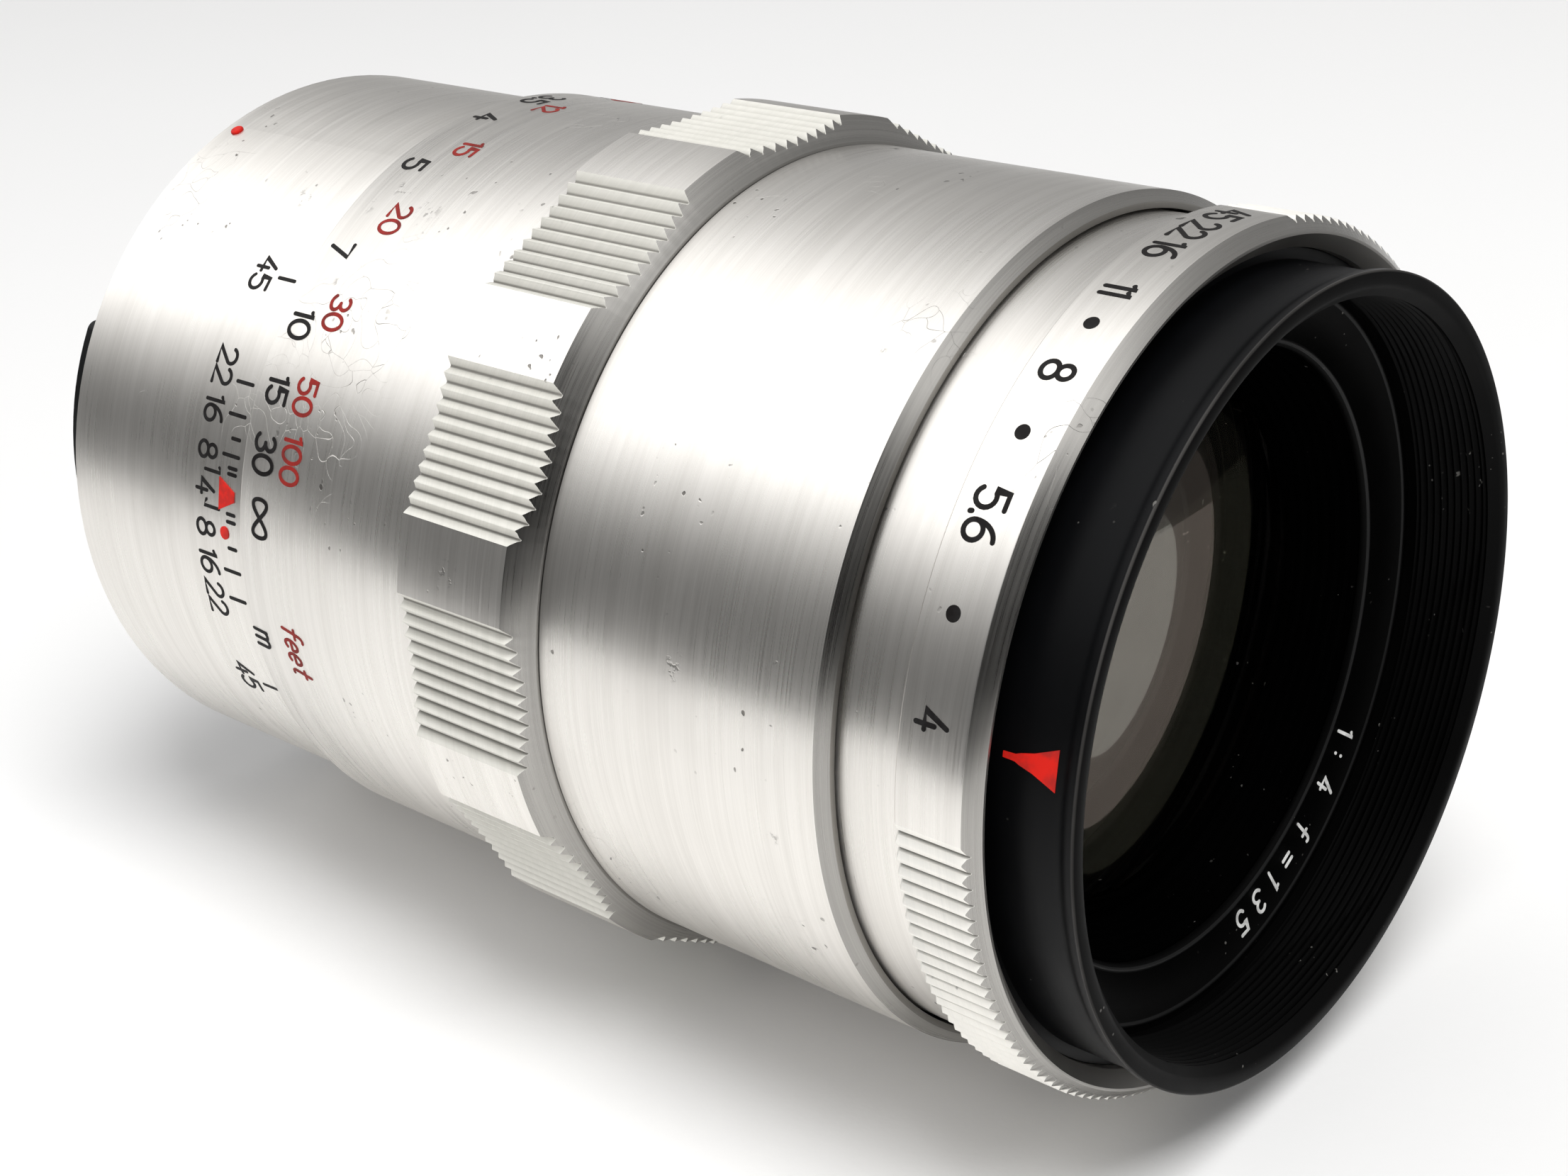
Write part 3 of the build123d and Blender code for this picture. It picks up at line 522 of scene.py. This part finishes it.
# Third values: painted shade, partly grime, at the bevel, the rear edge and the bore
barrel_section = [
    (BARREL_FRONT_Y, BARREL_BORE_R, 0.75), (BARREL_FRONT_Y, BARREL_R - BARREL_EDGE, 0.3),
    (BARREL_FRONT_Y + 0.03, BARREL_R - BARREL_EDGE + 0.03, 0.1),
    (BARREL_FRONT_Y + BARREL_EDGE, BARREL_R, 0.0), (BARREL_FRONT_Y + 1.2, BARREL_R, 0.0),
    (BARREL_REAR_Y - 0.4, BARREL_R, 0.0), (BARREL_REAR_Y, BARREL_R, 0.35),
    (BARREL_REAR_Y, WEB_R, 0.6), (WEB_FRONT_Y, WEB_R, 0.6), (WEB_FRONT_Y, BARREL_BORE_R, 0.6),
]
BARREL_BEVEL_ROWS = (0, 1, 2)


def is_barrel_bevel(_, row):
    """Faces of the bevel at the front of the barrel."""
    return row in BARREL_BEVEL_ROWS


barrel_columns = [(360 / BARREL_SIDES * k, barrel_section) for k in range(BARREL_SIDES)]
# The barrel's front bevel takes the darker aluminium copy, painted shade
ring("main_barrel_detail", barrel_columns, ALUMINIUM, "head", "main_barrel",
     others=[(SHADED_BEVEL_METAL, is_barrel_bevel)])


# ---------------------------------------------------------------- aperture ring

BAND_FRONT_Y, BAND_REAR_Y, SLEEVE_REAR_Y, STEP_Y = -84.75, -79.2, -54.2, -82.55
BAND_R, BEVEL, SLEEVE_R, BORE_R, FRONT_BORE_R = 28.2, 0.85, 27.0, 25.95, 26.2
FRONT_FACE_R = 27.15
KNURL_START, KNURL_STEP, KNURL_TEETH, KNURL_DEPTH = 9.7, 2.2, 119, 0.4
KNURL_CORNERS = 6                # columns to one tooth of the knurl
PLAIN_COLUMNS = 49               # columns across the smooth part with the stop numbers
BAND_BEVEL_ROWS, KNURL_ROWS = (0, 1, 2, 3), (4, 5, 6, 7)


def knurl_outline():
    """Angles with the aperture ring's radius and the painted shade, partly grime, there."""
    outline = []
    for k in range(KNURL_TEETH):
        # Groove floors of the knurl get full painted shade, partly grime
        tip = KNURL_START + KNURL_STEP * k
        outline += [
            (tip + 0.08, BAND_R - 0.01, 0.0), (tip + 0.8, BAND_R - 0.22, 0.0),
            (tip + 1.02, BAND_R - KNURL_DEPTH, 1.0), (tip + 1.18, BAND_R - KNURL_DEPTH, 1.0),
            (tip + 1.4, BAND_R - 0.22, 0.0), (tip + 2.12, BAND_R - 0.01, 0.0),
        ]
    end = KNURL_START + KNURL_STEP * KNURL_TEETH
    step = (360 + KNURL_START - end) / PLAIN_COLUMNS
    outline += [(end + 0.1 + step * k, BAND_R, 0.0) for k in range(PLAIN_COLUMNS)]
    return outline


def aperture_columns():
    """Columns of the aperture ring."""
    columns = []
    for angle, band, shade_and_grime in knurl_outline():
        edge = BAND_FRONT_Y + BEVEL - (BAND_R - band)
        # Third values: painted shade, partly grime, at the bore, the front face and the rear edge
        columns.append((angle, [
            (BAND_FRONT_Y + FRONT_FACE_R - FRONT_BORE_R, FRONT_BORE_R, 0.8),
            (BAND_FRONT_Y, FRONT_FACE_R, 0.4), (BAND_FRONT_Y, BAND_R - BEVEL - 0.03, 0.1),
            (BAND_FRONT_Y + 0.03, BAND_R - BEVEL, 0.0), (edge - 0.02, band - 0.02, 0.0),
            (edge + 0.04, band, shade_and_grime), (BAND_REAR_Y - 0.2, band, shade_and_grime),
            (BAND_REAR_Y, band - 0.2, shade_and_grime), (BAND_REAR_Y, SLEEVE_R + 0.1, 0.4),
            (BAND_REAR_Y + 0.1, SLEEVE_R, 0.4), (BAND_REAR_Y + 0.7, SLEEVE_R, 0.0),
            (SLEEVE_REAR_Y, SLEEVE_R, 0.0),
            (SLEEVE_REAR_Y, BORE_R, 0.0), (STEP_Y, BORE_R, 0.0), (STEP_Y, FRONT_BORE_R, 0.0),
        ]))
    return columns


def is_knurl(column, row):
    """Faces of the knurl, between the front bevel and the rear edge."""
    return row in KNURL_ROWS and column < KNURL_CORNERS * KNURL_TEETH


def is_band_bevel(_, row):
    """Faces of the bevel at the front of the aperture ring."""
    return row in BAND_BEVEL_ROWS


# The aperture ring's front bevel takes the darker aluminium copy, painted shade
ring("aperture_ring_detail", aperture_columns(), ALUMINIUM, "aperture_control", "aperture_ring",
     others=[(CUT_METAL, is_knurl), (SHADED_BEVEL_METAL, is_band_bevel)])


# ---------------------------------------------------------------- black front ring with its filter thread

THREAD_FRONT_Y, THREAD_REAR_Y, THREAD_PITCH, THREAD_DEPTH = -88.9, -83.7, 0.5, 0.26
THREAD_CREST_R = 24.1
THREAD_ROWS_PER_TURN = 6
THREAD_FADE = 0.3                # run-out at each end of the thread
FRONT_SIDES = 288
RIM_ROWS, OUTSIDE_ROWS = 4, 15   # rows of the rim's front; rows before those of the bore


def thread_radius(y, angle):
    """Radius of the filter thread, run out smoothly at both ends."""
    turn = (y - THREAD_FRONT_Y) / THREAD_PITCH - angle / 360
    tooth = abs(turn % 1.0 - 0.5) * 2
    fade = min(1.0, (y - THREAD_FRONT_Y) / THREAD_FADE, (THREAD_REAR_Y - y) / THREAD_FADE)
    return THREAD_CREST_R + THREAD_DEPTH * tooth * max(fade, 0.0)


def front_ring_columns():
    """Columns of the front ring."""
    count = round((THREAD_REAR_Y - THREAD_FRONT_Y) / THREAD_PITCH * THREAD_ROWS_PER_TURN)
    levels = [THREAD_REAR_Y + (THREAD_FRONT_Y - THREAD_REAR_Y) * k / count for k in range(count + 1)]
    outside = [
        (-89.42, 24.62, 0.0), (-89.55, 24.75, 0.0), (-89.6, 25.0, 0.0), (-89.6, 25.6, 0.0),
        (-89.5, 25.75, 0.0), (-89.05, 25.74, 0.0), (-88.7, 25.5, 0.0), (-88.3, 25.41, 0.0),
        (-87.9, 25.4, 0.0), (-83.2, 25.4, 0.0), (-83.2, 26.1, 0.0), (-83.15, 26.15, 0.0),
        (-82.6, 26.15, 0.0), (-82.6, 25.9, 0.0), (-66.1, 25.9, 0.0), (-66.1, 24.36, 0.0),
        (-83.6, 24.36, 0.0),
    ]
    columns = []
    for k in range(FRONT_SIDES):
        angle = 360 / FRONT_SIDES * k
        columns.append((angle, outside + [(y, thread_radius(y, angle), 0.0) for y in levels]))
    return columns


def is_inside(_, row):
    """Faces of the rim's front and of the bore behind it."""
    return row < RIM_ROWS or row >= OUTSIDE_ROWS


ring("front_ring_detail", front_ring_columns(), BLACK, "head", "front_ring", 40.0,
     [(DULL_BLACK, is_inside)])


# ---------------------------------------------------------------- name ring

NAME_BORE_R, NAME_OUT_R, NAME_REAR_Y, NAME_SIDES = 20.0, 24.35, -81.6, 288
NAME_FACE_Y, NAME_SLOPE, NAME_SLOPE_END_R = -82.0, 0.225, 24.0
NAME_BEADS = (20.35, 23.75)      # radii of the two raised lines
BEAD_SHAPE = ((-0.16, 0.0), (-0.1, 0.07), (0.0, 0.1), (0.1, 0.07), (0.16, 0.0))
BEAD_ROWS = (3, 4, 5, 6, 8, 9, 10, 11)


def name_ring_y(radius):
    """Place along the axis of the sloping name ring's face."""
    return NAME_FACE_Y - NAME_SLOPE * (min(radius, NAME_SLOPE_END_R) - NAME_BORE_R)


name_section = [
    (NAME_REAR_Y, NAME_OUT_R, 0.0), (NAME_REAR_Y, NAME_BORE_R, 0.0),
    (name_ring_y(NAME_BORE_R), NAME_BORE_R, 0.0),
]
for bead in NAME_BEADS:
    name_section += [(name_ring_y(bead + off) - rise, bead + off, 0.0) for off, rise in BEAD_SHAPE]
name_section.append((name_ring_y(NAME_OUT_R), NAME_OUT_R, 0.0))


def is_bead(_, row):
    """Faces of the two raised lines."""
    return row in BEAD_ROWS


name_columns = [(360 / NAME_SIDES * k, name_section) for k in range(NAME_SIDES)]
ring("name_ring_detail", name_columns, DULL_BLACK, "head", "name_ring", 80.0, [(BEAD_BLACK, is_bead)])


# ---------------------------------------------------------------- engraved marks

def arc(cx, cy, rx, ry, start, end, steps=14):
    """Points of an elliptical arc; angles count anticlockwise from the right."""
    turns = [math.radians(start + (end - start) * k / steps) for k in range(steps + 1)]
    return [(cx + rx * math.cos(t), cy + ry * math.sin(t)) for t in turns]


# Each sign has its half width and its strokes, one unit high about its middle
SIGNS = {
    "0": (0.31, [arc(0, 0, 0.31, 0.5, 90, 450, 28)]),
    "1": (0.08, [[(-0.11, 0.33), (0.05, 0.5), (0.05, -0.5)]]),
    "2": (0.29, [arc(0, 0.22, 0.27, 0.28, 165, -28) + [(-0.29, -0.5), (0.29, -0.5)]]),
    "3": (0.28, [arc(0, 0.25, 0.24, 0.25, 150, -90), arc(0, -0.25, 0.29, 0.25, 90, -150)]),
    "4": (0.26, [[(0.09, 0.5), (-0.26, -0.22), (0.27, -0.22)], [(0.12, 0.1), (0.12, -0.5)]]),
    "5": (0.28, [[(0.25, 0.5), (-0.2, 0.5), (-0.23, 0.04)] + arc(0, -0.18, 0.29, 0.32, 125, -145)]),
    "6": (0.28, [arc(0.22, -0.2, 0.5, 0.7, 92, 180, 10) + arc(0, -0.2, 0.28, 0.3, 180, 540, 22)]),
    "7": (0.25, [[(-0.25, 0.5), (0.25, 0.5), (-0.06, -0.5)]]),
    "8": (0.28, [arc(0, 0.26, 0.23, 0.24, -90, 270, 22), arc(0, -0.24, 0.29, 0.26, 90, 450, 24)]),
    ".": (0.02, [[(0.0, -0.5), (-0.01, -0.44)]]),
    ":": (0.05, [[(0, 0.18), (0, 0.2)], [(0, -0.2), (0, -0.18)]]),
    "=": (0.26, [[(-0.26, 0.15), (0.26, 0.15)], [(-0.26, -0.15), (0.26, -0.15)]]),
    "m": (0.32, [[(-0.3, -0.5), (-0.3, 0.12)], arc(-0.15, -0.05, 0.15, 0.17, 180, 0) + [(0, -0.5)],
                 arc(0.15, -0.05, 0.15, 0.17, 180, 0) + [(0.3, -0.5)]]),
    "f": (0.2, [arc(0.12, 0.28, 0.14, 0.22, 70, 180, 8) + [(-0.02, -0.5)], [(-0.18, 0.1), (0.18, 0.1)]]),
    "e": (0.2, [[(-0.2, -0.2), (0.2, -0.2)] + arc(0, -0.2, 0.2, 0.3, 0, 310, 16)]),
    "t": (0.16, [[(0, 0.4), (0, -0.36)] + arc(0.12, -0.36, 0.12, 0.14, 180, 290, 6),
                 [(-0.15, 0.1), (0.17, 0.1)]]),
}
GAP = 0.16                       # between two signs, in heights of a sign
CAP_STEPS = 5                    # rows in a stroke's round end
CAP_TURN = 84.0                  # degrees of that end; short of 90, so that no row has no width
MITRE_LIMIT = 1.6                # widest that a stroke gets in a bend


def endless_sign(width, height, steps=56):
    """Outline of the sign for an endless distance, lying along the line of text."""
    turns = [2 * math.pi * k / steps for k in range(steps + 1)]
    return [(width / 2 * math.sin(t), height / 2 * math.sin(2 * t)) for t in turns]


class Marks:
    """Collects thin closed strokes on a surface and turns them into one piece."""

    def __init__(self, lift=0.018, depth=0.06):
        self.shape = bmesh.new()
        self.lift, self.depth = lift, depth

    def sections(self, rows, place, looped=False):
        """Closed strip through rows of (u, v, across u, across v, half width)."""
        corners = []
        for u, v, au, av, half in rows:
            left, right = (u + au * half, v + av * half), (u - au * half, v - av * half)
            corners.append([
                self.shape.verts.new(place(*side, height))
                for height in (self.lift, -self.depth) for side in (left, right)
            ])
        pairs = list(zip(corners, corners[1:] + (corners[:1] if looped else [])))
        for (a, b, c, d), (e, f, g, h) in pairs:
            for loop in ((a, b, f, e), (d, c, g, h), (c, a, e, g), (b, d, h, f)):
                self.shape.faces.new(loop)
        if not looped:
            for a, b, c, d in (corners[0], corners[-1]):
                self.shape.faces.new((a, b, d, c))

    def stroke(self, points, half, place):
        """Stroke of constant width with round ends."""
        looped = math.dist(points[0], points[-1]) < 1e-6 and len(points) > 3
        if looped:
            points = points[:-1]
        count = len(points)
        rows = []
        for k, (u, v) in enumerate(points):
            before = points[k - 1] if k > 0 or looped else points[k]
            after = points[(k + 1) % count] if k < count - 1 or looped else points[k]
            du, dv = after[0] - before[0], after[1] - before[1]
            size = math.hypot(du, dv)
            du, dv = du / size, dv / size
            stretch = 1.0
            if before != (u, v) != after:
                ahead = math.dist((u, v), after)
                bend = abs((after[0] - u) * du + (after[1] - v) * dv) / ahead
                stretch = min(MITRE_LIMIT, 1 / max(0.4, bend))
            rows.append((u, v, -dv, du, half * stretch))
        if not looped:
            rows = self.cap(rows[0], half, -1) + rows + self.cap(rows[-1], half, 1)
        self.sections(rows, place, looped)

    @staticmethod
    def cap(row, half, way):
        """Rows that round off one end of a stroke."""
        u, v, au, av, _ = row
        made = []
        for k in range(1, CAP_STEPS + 1):
            turn = math.radians(CAP_TURN * k / CAP_STEPS)
            ahead = way * half * math.sin(turn)
            made.append((u + av * ahead, v - au * ahead, au, av, half * math.cos(turn)))
        return made if way > 0 else made[::-1]

    def dot(self, diameter, place):
        self.stroke([(-0.01, 0), (0.01, 0)], diameter / 2, place)

    def write(self, text, height, width, place, slant=0.0):
        """Text centred on the place, with strokes of the given width."""
        scale = height - width
        edge = 0.0
        middles = []
        for k, sign in enumerate(text):
            half = SIGNS[sign][0]
            edge += half + (GAP if k else 0)
            middles.append(edge)
            edge += half
        for sign, middle in zip(text, middles):
            for stroke in SIGNS[sign][1]:
                points = [((a + b * slant + middle - edge / 2) * scale, b * scale) for a, b in stroke]
                self.stroke(points, width / 2, place)

    def finish(self, name, material, body):
        mesh = bpy.data.meshes.new(name)
        bmesh.ops.recalc_face_normals(self.shape, faces=self.shape.faces)
        self.shape.to_mesh(mesh)
        self.shape.free()
        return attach(add_object(name, mesh, material), body)


def on_barrel(radius, angle, y):
    """Placer for marks on a barrel: text reads towards smaller angles with its top to the front."""
    def place(u, v, height):
        return point(radius + height, angle - math.degrees(u / radius), y - v)
    return place


def on_name_ring(angle, radius):
    """Placer for marks on the sloping name ring: text reads clockwise with its top outwards."""
    def place(u, v, height):
        out = radius + v
        return point(out, angle + math.degrees(u / radius), name_ring_y(out) - height)
    return place


METRE_Y, FOOT_Y = -23.4, -26.3   # middles of the two rows of distances
METRE_MARKS = [
    ("1.5", 142.8), ("2", 77.3), ("2.5", 43.8), ("3", 19.9), ("3.5", 5.0), ("4", -6.3),
    ("5", -21.1), ("7", -38.3), ("10", -50.5), ("15", -60.1), ("30", -69.1),
]
FOOT_MARKS = [
    ("5", 131.0), ("6", 88.0), ("7", 60.0), ("8", 39.5), ("10", 16.5), ("12", 0.7),
    ("15", -15.8), ("20", -31.8), ("30", -47.6), ("50", -59.9), ("100", -68.9),
]
black = Marks()
for text, angle in METRE_MARKS:
    black.write(text, 2.35, 0.31, on_barrel(FOCUS_R, angle, METRE_Y))
black.stroke(endless_sign(2.75, 1.45), 0.15, on_barrel(FOCUS_R, -78.2, -23.5))
black.write("m", 2.4, 0.28, on_barrel(FOCUS_R, -97.3, -22.5), 0.1)
black.finish("metre_scale", BLACK_PAINT, "focusing")
red = Marks()
for text, angle in FOOT_MARKS:
    red.write(text, 2.15, 0.28, on_barrel(FOCUS_R, angle, FOOT_Y))
red.write("feet", 2.3, 0.26, on_barrel(FOCUS_R, -97.6, -25.9), 0.2)
red.finish("foot_scale", DARK_RED_PAINT, "focusing")

REAR_R = 27.6
DEPTH_Y, LONG_TICK_Y, SHORT_TICK_Y, HOOK_Y = -16.2, -18.85, -19.15, -16.95  # middles of its rows
DEPTH_NUMBERS = [
    ("45", -44.0), ("22", -58.75), ("16", -65.3), ("8", -71.4), ("4", -76.9), ("8", -83.2),
    ("16", -88.6), ("22", -94.6), ("45", -109.5),
]
LONG_TICKS = (-44.1, -60.4, -65.2, -71.2, -88.9, -93.6, -109.9)
SHORT_TICKS = (-68.65, -73.0, -73.9, -79.9, -81.1, -85.2)
depth = Marks()
for text, angle in DEPTH_NUMBERS:
    depth.write(text, 2.25, 0.27, on_barrel(REAR_R, angle, DEPTH_Y))
for angle in LONG_TICKS:
    depth.stroke([(0, -0.85), (0, 0.85)], 0.14, on_barrel(REAR_R, angle, LONG_TICK_Y))
for angle in SHORT_TICKS:
    depth.stroke([(0, -0.4), (0, 0.4)], 0.14, on_barrel(REAR_R, angle, SHORT_TICK_Y))
depth.stroke([(-0.35, 0.75), (0, 0.85), (0, -0.85)], 0.13, on_barrel(REAR_R, -74.25, HOOK_Y))
depth.stroke([(-0.45, -0.6), (0, -0.85), (0, 0.85)], 0.13, on_barrel(REAR_R, -79.7, HOOK_Y))
depth.finish("depth_scale", BLACK_PAINT, "rear_body")
index = Marks(0.05)
index.sections([(0, -0.9, 1, 0, 1.2), (0, 0.85, 1, 0, 0.35)], on_barrel(REAR_R, -77.2, -18.7))
index.dot(0.95, on_barrel(REAR_R, -83.0, -18.4))
index.finish("focus_index", RED_PAINT, "rear_body")

STOP_Y = -81.45
STOPS = [
    ("4", -74.7), ("5.6", -51.1), ("8", -32.5), ("11", -18.9), ("16", -9.3), ("22", -2.7), ("45", 4.6),
]
STOP_DOTS = (-62.5, -40.9, -24.9)
stops = Marks()
for text, angle in STOPS:
    stops.write(text, 2.4, 0.31, on_barrel(BAND_R, angle, STOP_Y))
for angle in STOP_DOTS:
    stops.dot(0.95, on_barrel(BAND_R, angle, STOP_Y))
stops.finish("stop_scale", BLACK_PAINT, "aperture_control")

pointer = Marks(0.05)
pointer.sections(
    [(0, -0.1, 1, 0, 0.18), (0, 0.7, 1, 0, 0.21), (0, 1.0, 1, 0, 0.34), (0, 1.9, 1, 0, 0.58),
     (0, 3.45, 1, 0, 1.22)],
    on_barrel(25.4, -77.85, -88.0 + 3.45),
)
pointer.finish("stop_index", RED_PAINT, "head")

LETTERING_R = 21.95
RING_SIGNS = [
    ("1", 126.2), (":", 130.4), ("4", 136.6), ("f", 146.2), ("=", 152.5), ("1", 157.6),
    ("3", 162.8), ("5", 168.6),
]
lettering = Marks(0.02, 0.04)
for sign, angle in RING_SIGNS:
    lettering.write(sign, 1.9, 0.24, on_name_ring(angle, LETTERING_R))
lettering.finish("ring_lettering", WHITE_PAINT, "head")


# ---------------------------------------------------------------- floor, light and camera

SPAN = 20000.0                   # half width of the plain floor
LEFT_EDGE_X = -165.0             # reflections show no table beyond this on the left,
CORNER_X, CORNER_Y = 55.0, -103.0  # nor beyond a slanting edge from here on the right
EDGE_SLOPE = -0.44


def make_floor():
    """Plain table. Only its middle shows in reflections, as if the table ended there."""
    material = floor_material()
    corner, side = (CORNER_X, CORNER_Y), (SPAN, CORNER_Y)
    front_x = CORNER_X - EDGE_SLOPE * (SPAN + CORNER_Y)
    table = [(LEFT_EDGE_X, -SPAN), (front_x, -SPAN), corner, side, (SPAN, SPAN), (LEFT_EDGE_X, SPAN)]
    left = [(-SPAN, -SPAN), (LEFT_EDGE_X, -SPAN), (LEFT_EDGE_X, SPAN), (-SPAN, SPAN)]
    right = [(front_x, -SPAN), (SPAN, -SPAN), side, corner]
    pieces = (("table", table, True), ("left_part", left, False), ("right_part", right, False))
    for name, outline, mirrored in pieces:
        mesh = bpy.data.meshes.new(name)
        mesh.from_pydata([(x * MM, y * MM, FLOOR_Z * MM) for x, y in outline], [], [range(len(outline))])
        part = add_object(name, mesh, material)
        part.visible_glossy = mirrored


# Brightness of the room by direction round the axis: degrees from straight up, positive to the right
ROOM = [
    (-180, 0.16), (-101, 0.15), (-94, 0.16), (-83, 0.17), (-72, 0.26), (-61, 0.62),
    (-52, 1.05), (-42, 1.7), (-10, 1.75), (8, 1.5), (18, 1.1), (28, 0.78), (40, 0.56),
    (50, 0.47), (62, 0.41), (80, 0.39), (101, 0.5),
    (130, 0.3), (180, 0.16),
]
ONLOOKER = (-0.70, -0.69, 0.17)  # direction of the person who looks at the lens, seen dark in it
ONLOOKER_EDGE = (0.62, 0.85)     # nearness to that direction at which the dark sets in and is full
ONLOOKER_SHARE = 0.08            # what is left of the room's light there
FILL_SHARE = 0.46                # share of the room's light that reaches matt things
BACKDROP = (0.90, 0.895, 0.885, 1)
LAMPS = {                        # place, size and power
    "lamp": ((-0.15, -0.36, 0.84), 0.46, 6.9),
    "side_lamp": ((-0.80, -0.35, 0.12), 0.6, 3.6),
}


def make_lamps():
    """Soft lamp above for the table and its shadow, and a low one for the teeth.

    Neither is mirrored, so the metal mirrors the room only.
    """
    for name, (place, size, power) in LAMPS.items():
        data = bpy.data.lights.new(name, "AREA")
        data.energy, data.size = power, size
        lamp = bpy.data.objects.new(name, data)
        bpy.context.scene.collection.objects.link(lamp)
        lamp.location = place
        lamp.rotation_euler = (-Vector(place)).to_track_quat("-Z", "Y").to_euler()
        lamp.visible_glossy = False


def make_room():
    """Soft overhead light with darker walls, as seen by the metal."""
    world = bpy.data.worlds.new("room")
    bpy.context.scene.world = world
    world.use_nodes = True
    tree = world.node_tree
    tree.nodes.clear()

    def node(kind, **settings):
        made = tree.nodes.new("ShaderNode" + kind)
        for key, value in settings.items():
            setattr(made, key, value)
        return made

    coordinates = node("TexCoord")
    parts = node("SeparateXYZ")
    tree.links.new(coordinates.outputs["Generated"], parts.inputs[0])
    turn = node("Math", operation="ARCTAN2")
    tree.links.new(parts.outputs["X"], turn.inputs[0])
    tree.links.new(parts.outputs["Z"], turn.inputs[1])
    share = node("MapRange")
    share.inputs["From Min"].default_value = -math.pi
    share.inputs["From Max"].default_value = math.pi
    tree.links.new(turn.outputs[0], share.inputs["Value"])
    ramp = node("ValToRGB")
    brightest = max(value for _, value in ROOM)
    elements = ramp.color_ramp.elements
    while len(elements) < len(ROOM):
        elements.new(0.5)
    for element, (degrees, value) in zip(elements, ROOM):
        element.position = degrees / 360 + 0.5
        element.color = (value / brightest,) * 3 + (1,)
    tree.links.new(share.outputs["Result"], ramp.inputs["Fac"])
    nearness = node("VectorMath", operation="DOT_PRODUCT")
    nearness.inputs[1].default_value = ONLOOKER
    tree.links.new(coordinates.outputs["Generated"], nearness.inputs[0])
    shade = node("MapRange", interpolation_type="SMOOTHSTEP")
    limits = (*ONLOOKER_EDGE, brightest, ONLOOKER_SHARE * brightest)
    for name, value in zip(("From Min", "From Max", "To Min", "To Max"), limits):
        shade.inputs[name].default_value = value
    tree.links.new(nearness.outputs["Value"], shade.inputs["Value"])
    path = node("LightPath")
    dimmer = node("MapRange")
    dimmer.inputs["To Min"].default_value = 1.0
    dimmer.inputs["To Max"].default_value = FILL_SHARE
    tree.links.new(path.outputs["Is Diffuse Ray"], dimmer.inputs["Value"])
    strength = node("Math", operation="MULTIPLY")
    tree.links.new(shade.outputs["Result"], strength.inputs[0])
    tree.links.new(dimmer.outputs["Result"], strength.inputs[1])
    seen, plain = node("Background"), node("Background")
    tree.links.new(ramp.outputs["Color"], seen.inputs["Color"])
    tree.links.new(strength.outputs[0], seen.inputs["Strength"])
    plain.inputs["Color"].default_value = BACKDROP
    choose, output = node("MixShader"), node("OutputWorld")
    tree.links.new(path.outputs["Is Camera Ray"], choose.inputs[0])
    tree.links.new(seen.outputs[0], choose.inputs[1])
    tree.links.new(plain.outputs[0], choose.inputs[2])
    tree.links.new(choose.outputs[0], output.inputs[0])


CAMERA_LENS = 55.33
CAMERA_PLACE = (-117.167, -153.364, 69.051)
CAMERA_RIGHT = (0.65312, -0.75510, -0.05714)
CAMERA_UP = (0.35182, 0.23576, 0.90589)


def make_camera():
    """Camera in front of the lens, to its -X side and above it."""
    data = bpy.data.cameras.new("camera")
    data.sensor_width, data.lens = 36.0, CAMERA_LENS
    data.clip_start, data.clip_end = 0.01, 100.0
    camera = bpy.data.objects.new("camera", data)
    bpy.context.scene.collection.objects.link(camera)
    right, up = Vector(CAMERA_RIGHT), Vector(CAMERA_UP)
    turn = Matrix((right, up, right.cross(up))).transposed().to_4x4()
    camera.matrix_world = Matrix.Translation(Vector(CAMERA_PLACE) * MM) @ turn
    bpy.context.scene.camera = camera


make_floor()
make_room()
make_lamps()
make_camera()
bpy.context.scene.view_settings.view_transform = "Standard"

bpy.context.view_layer.update()
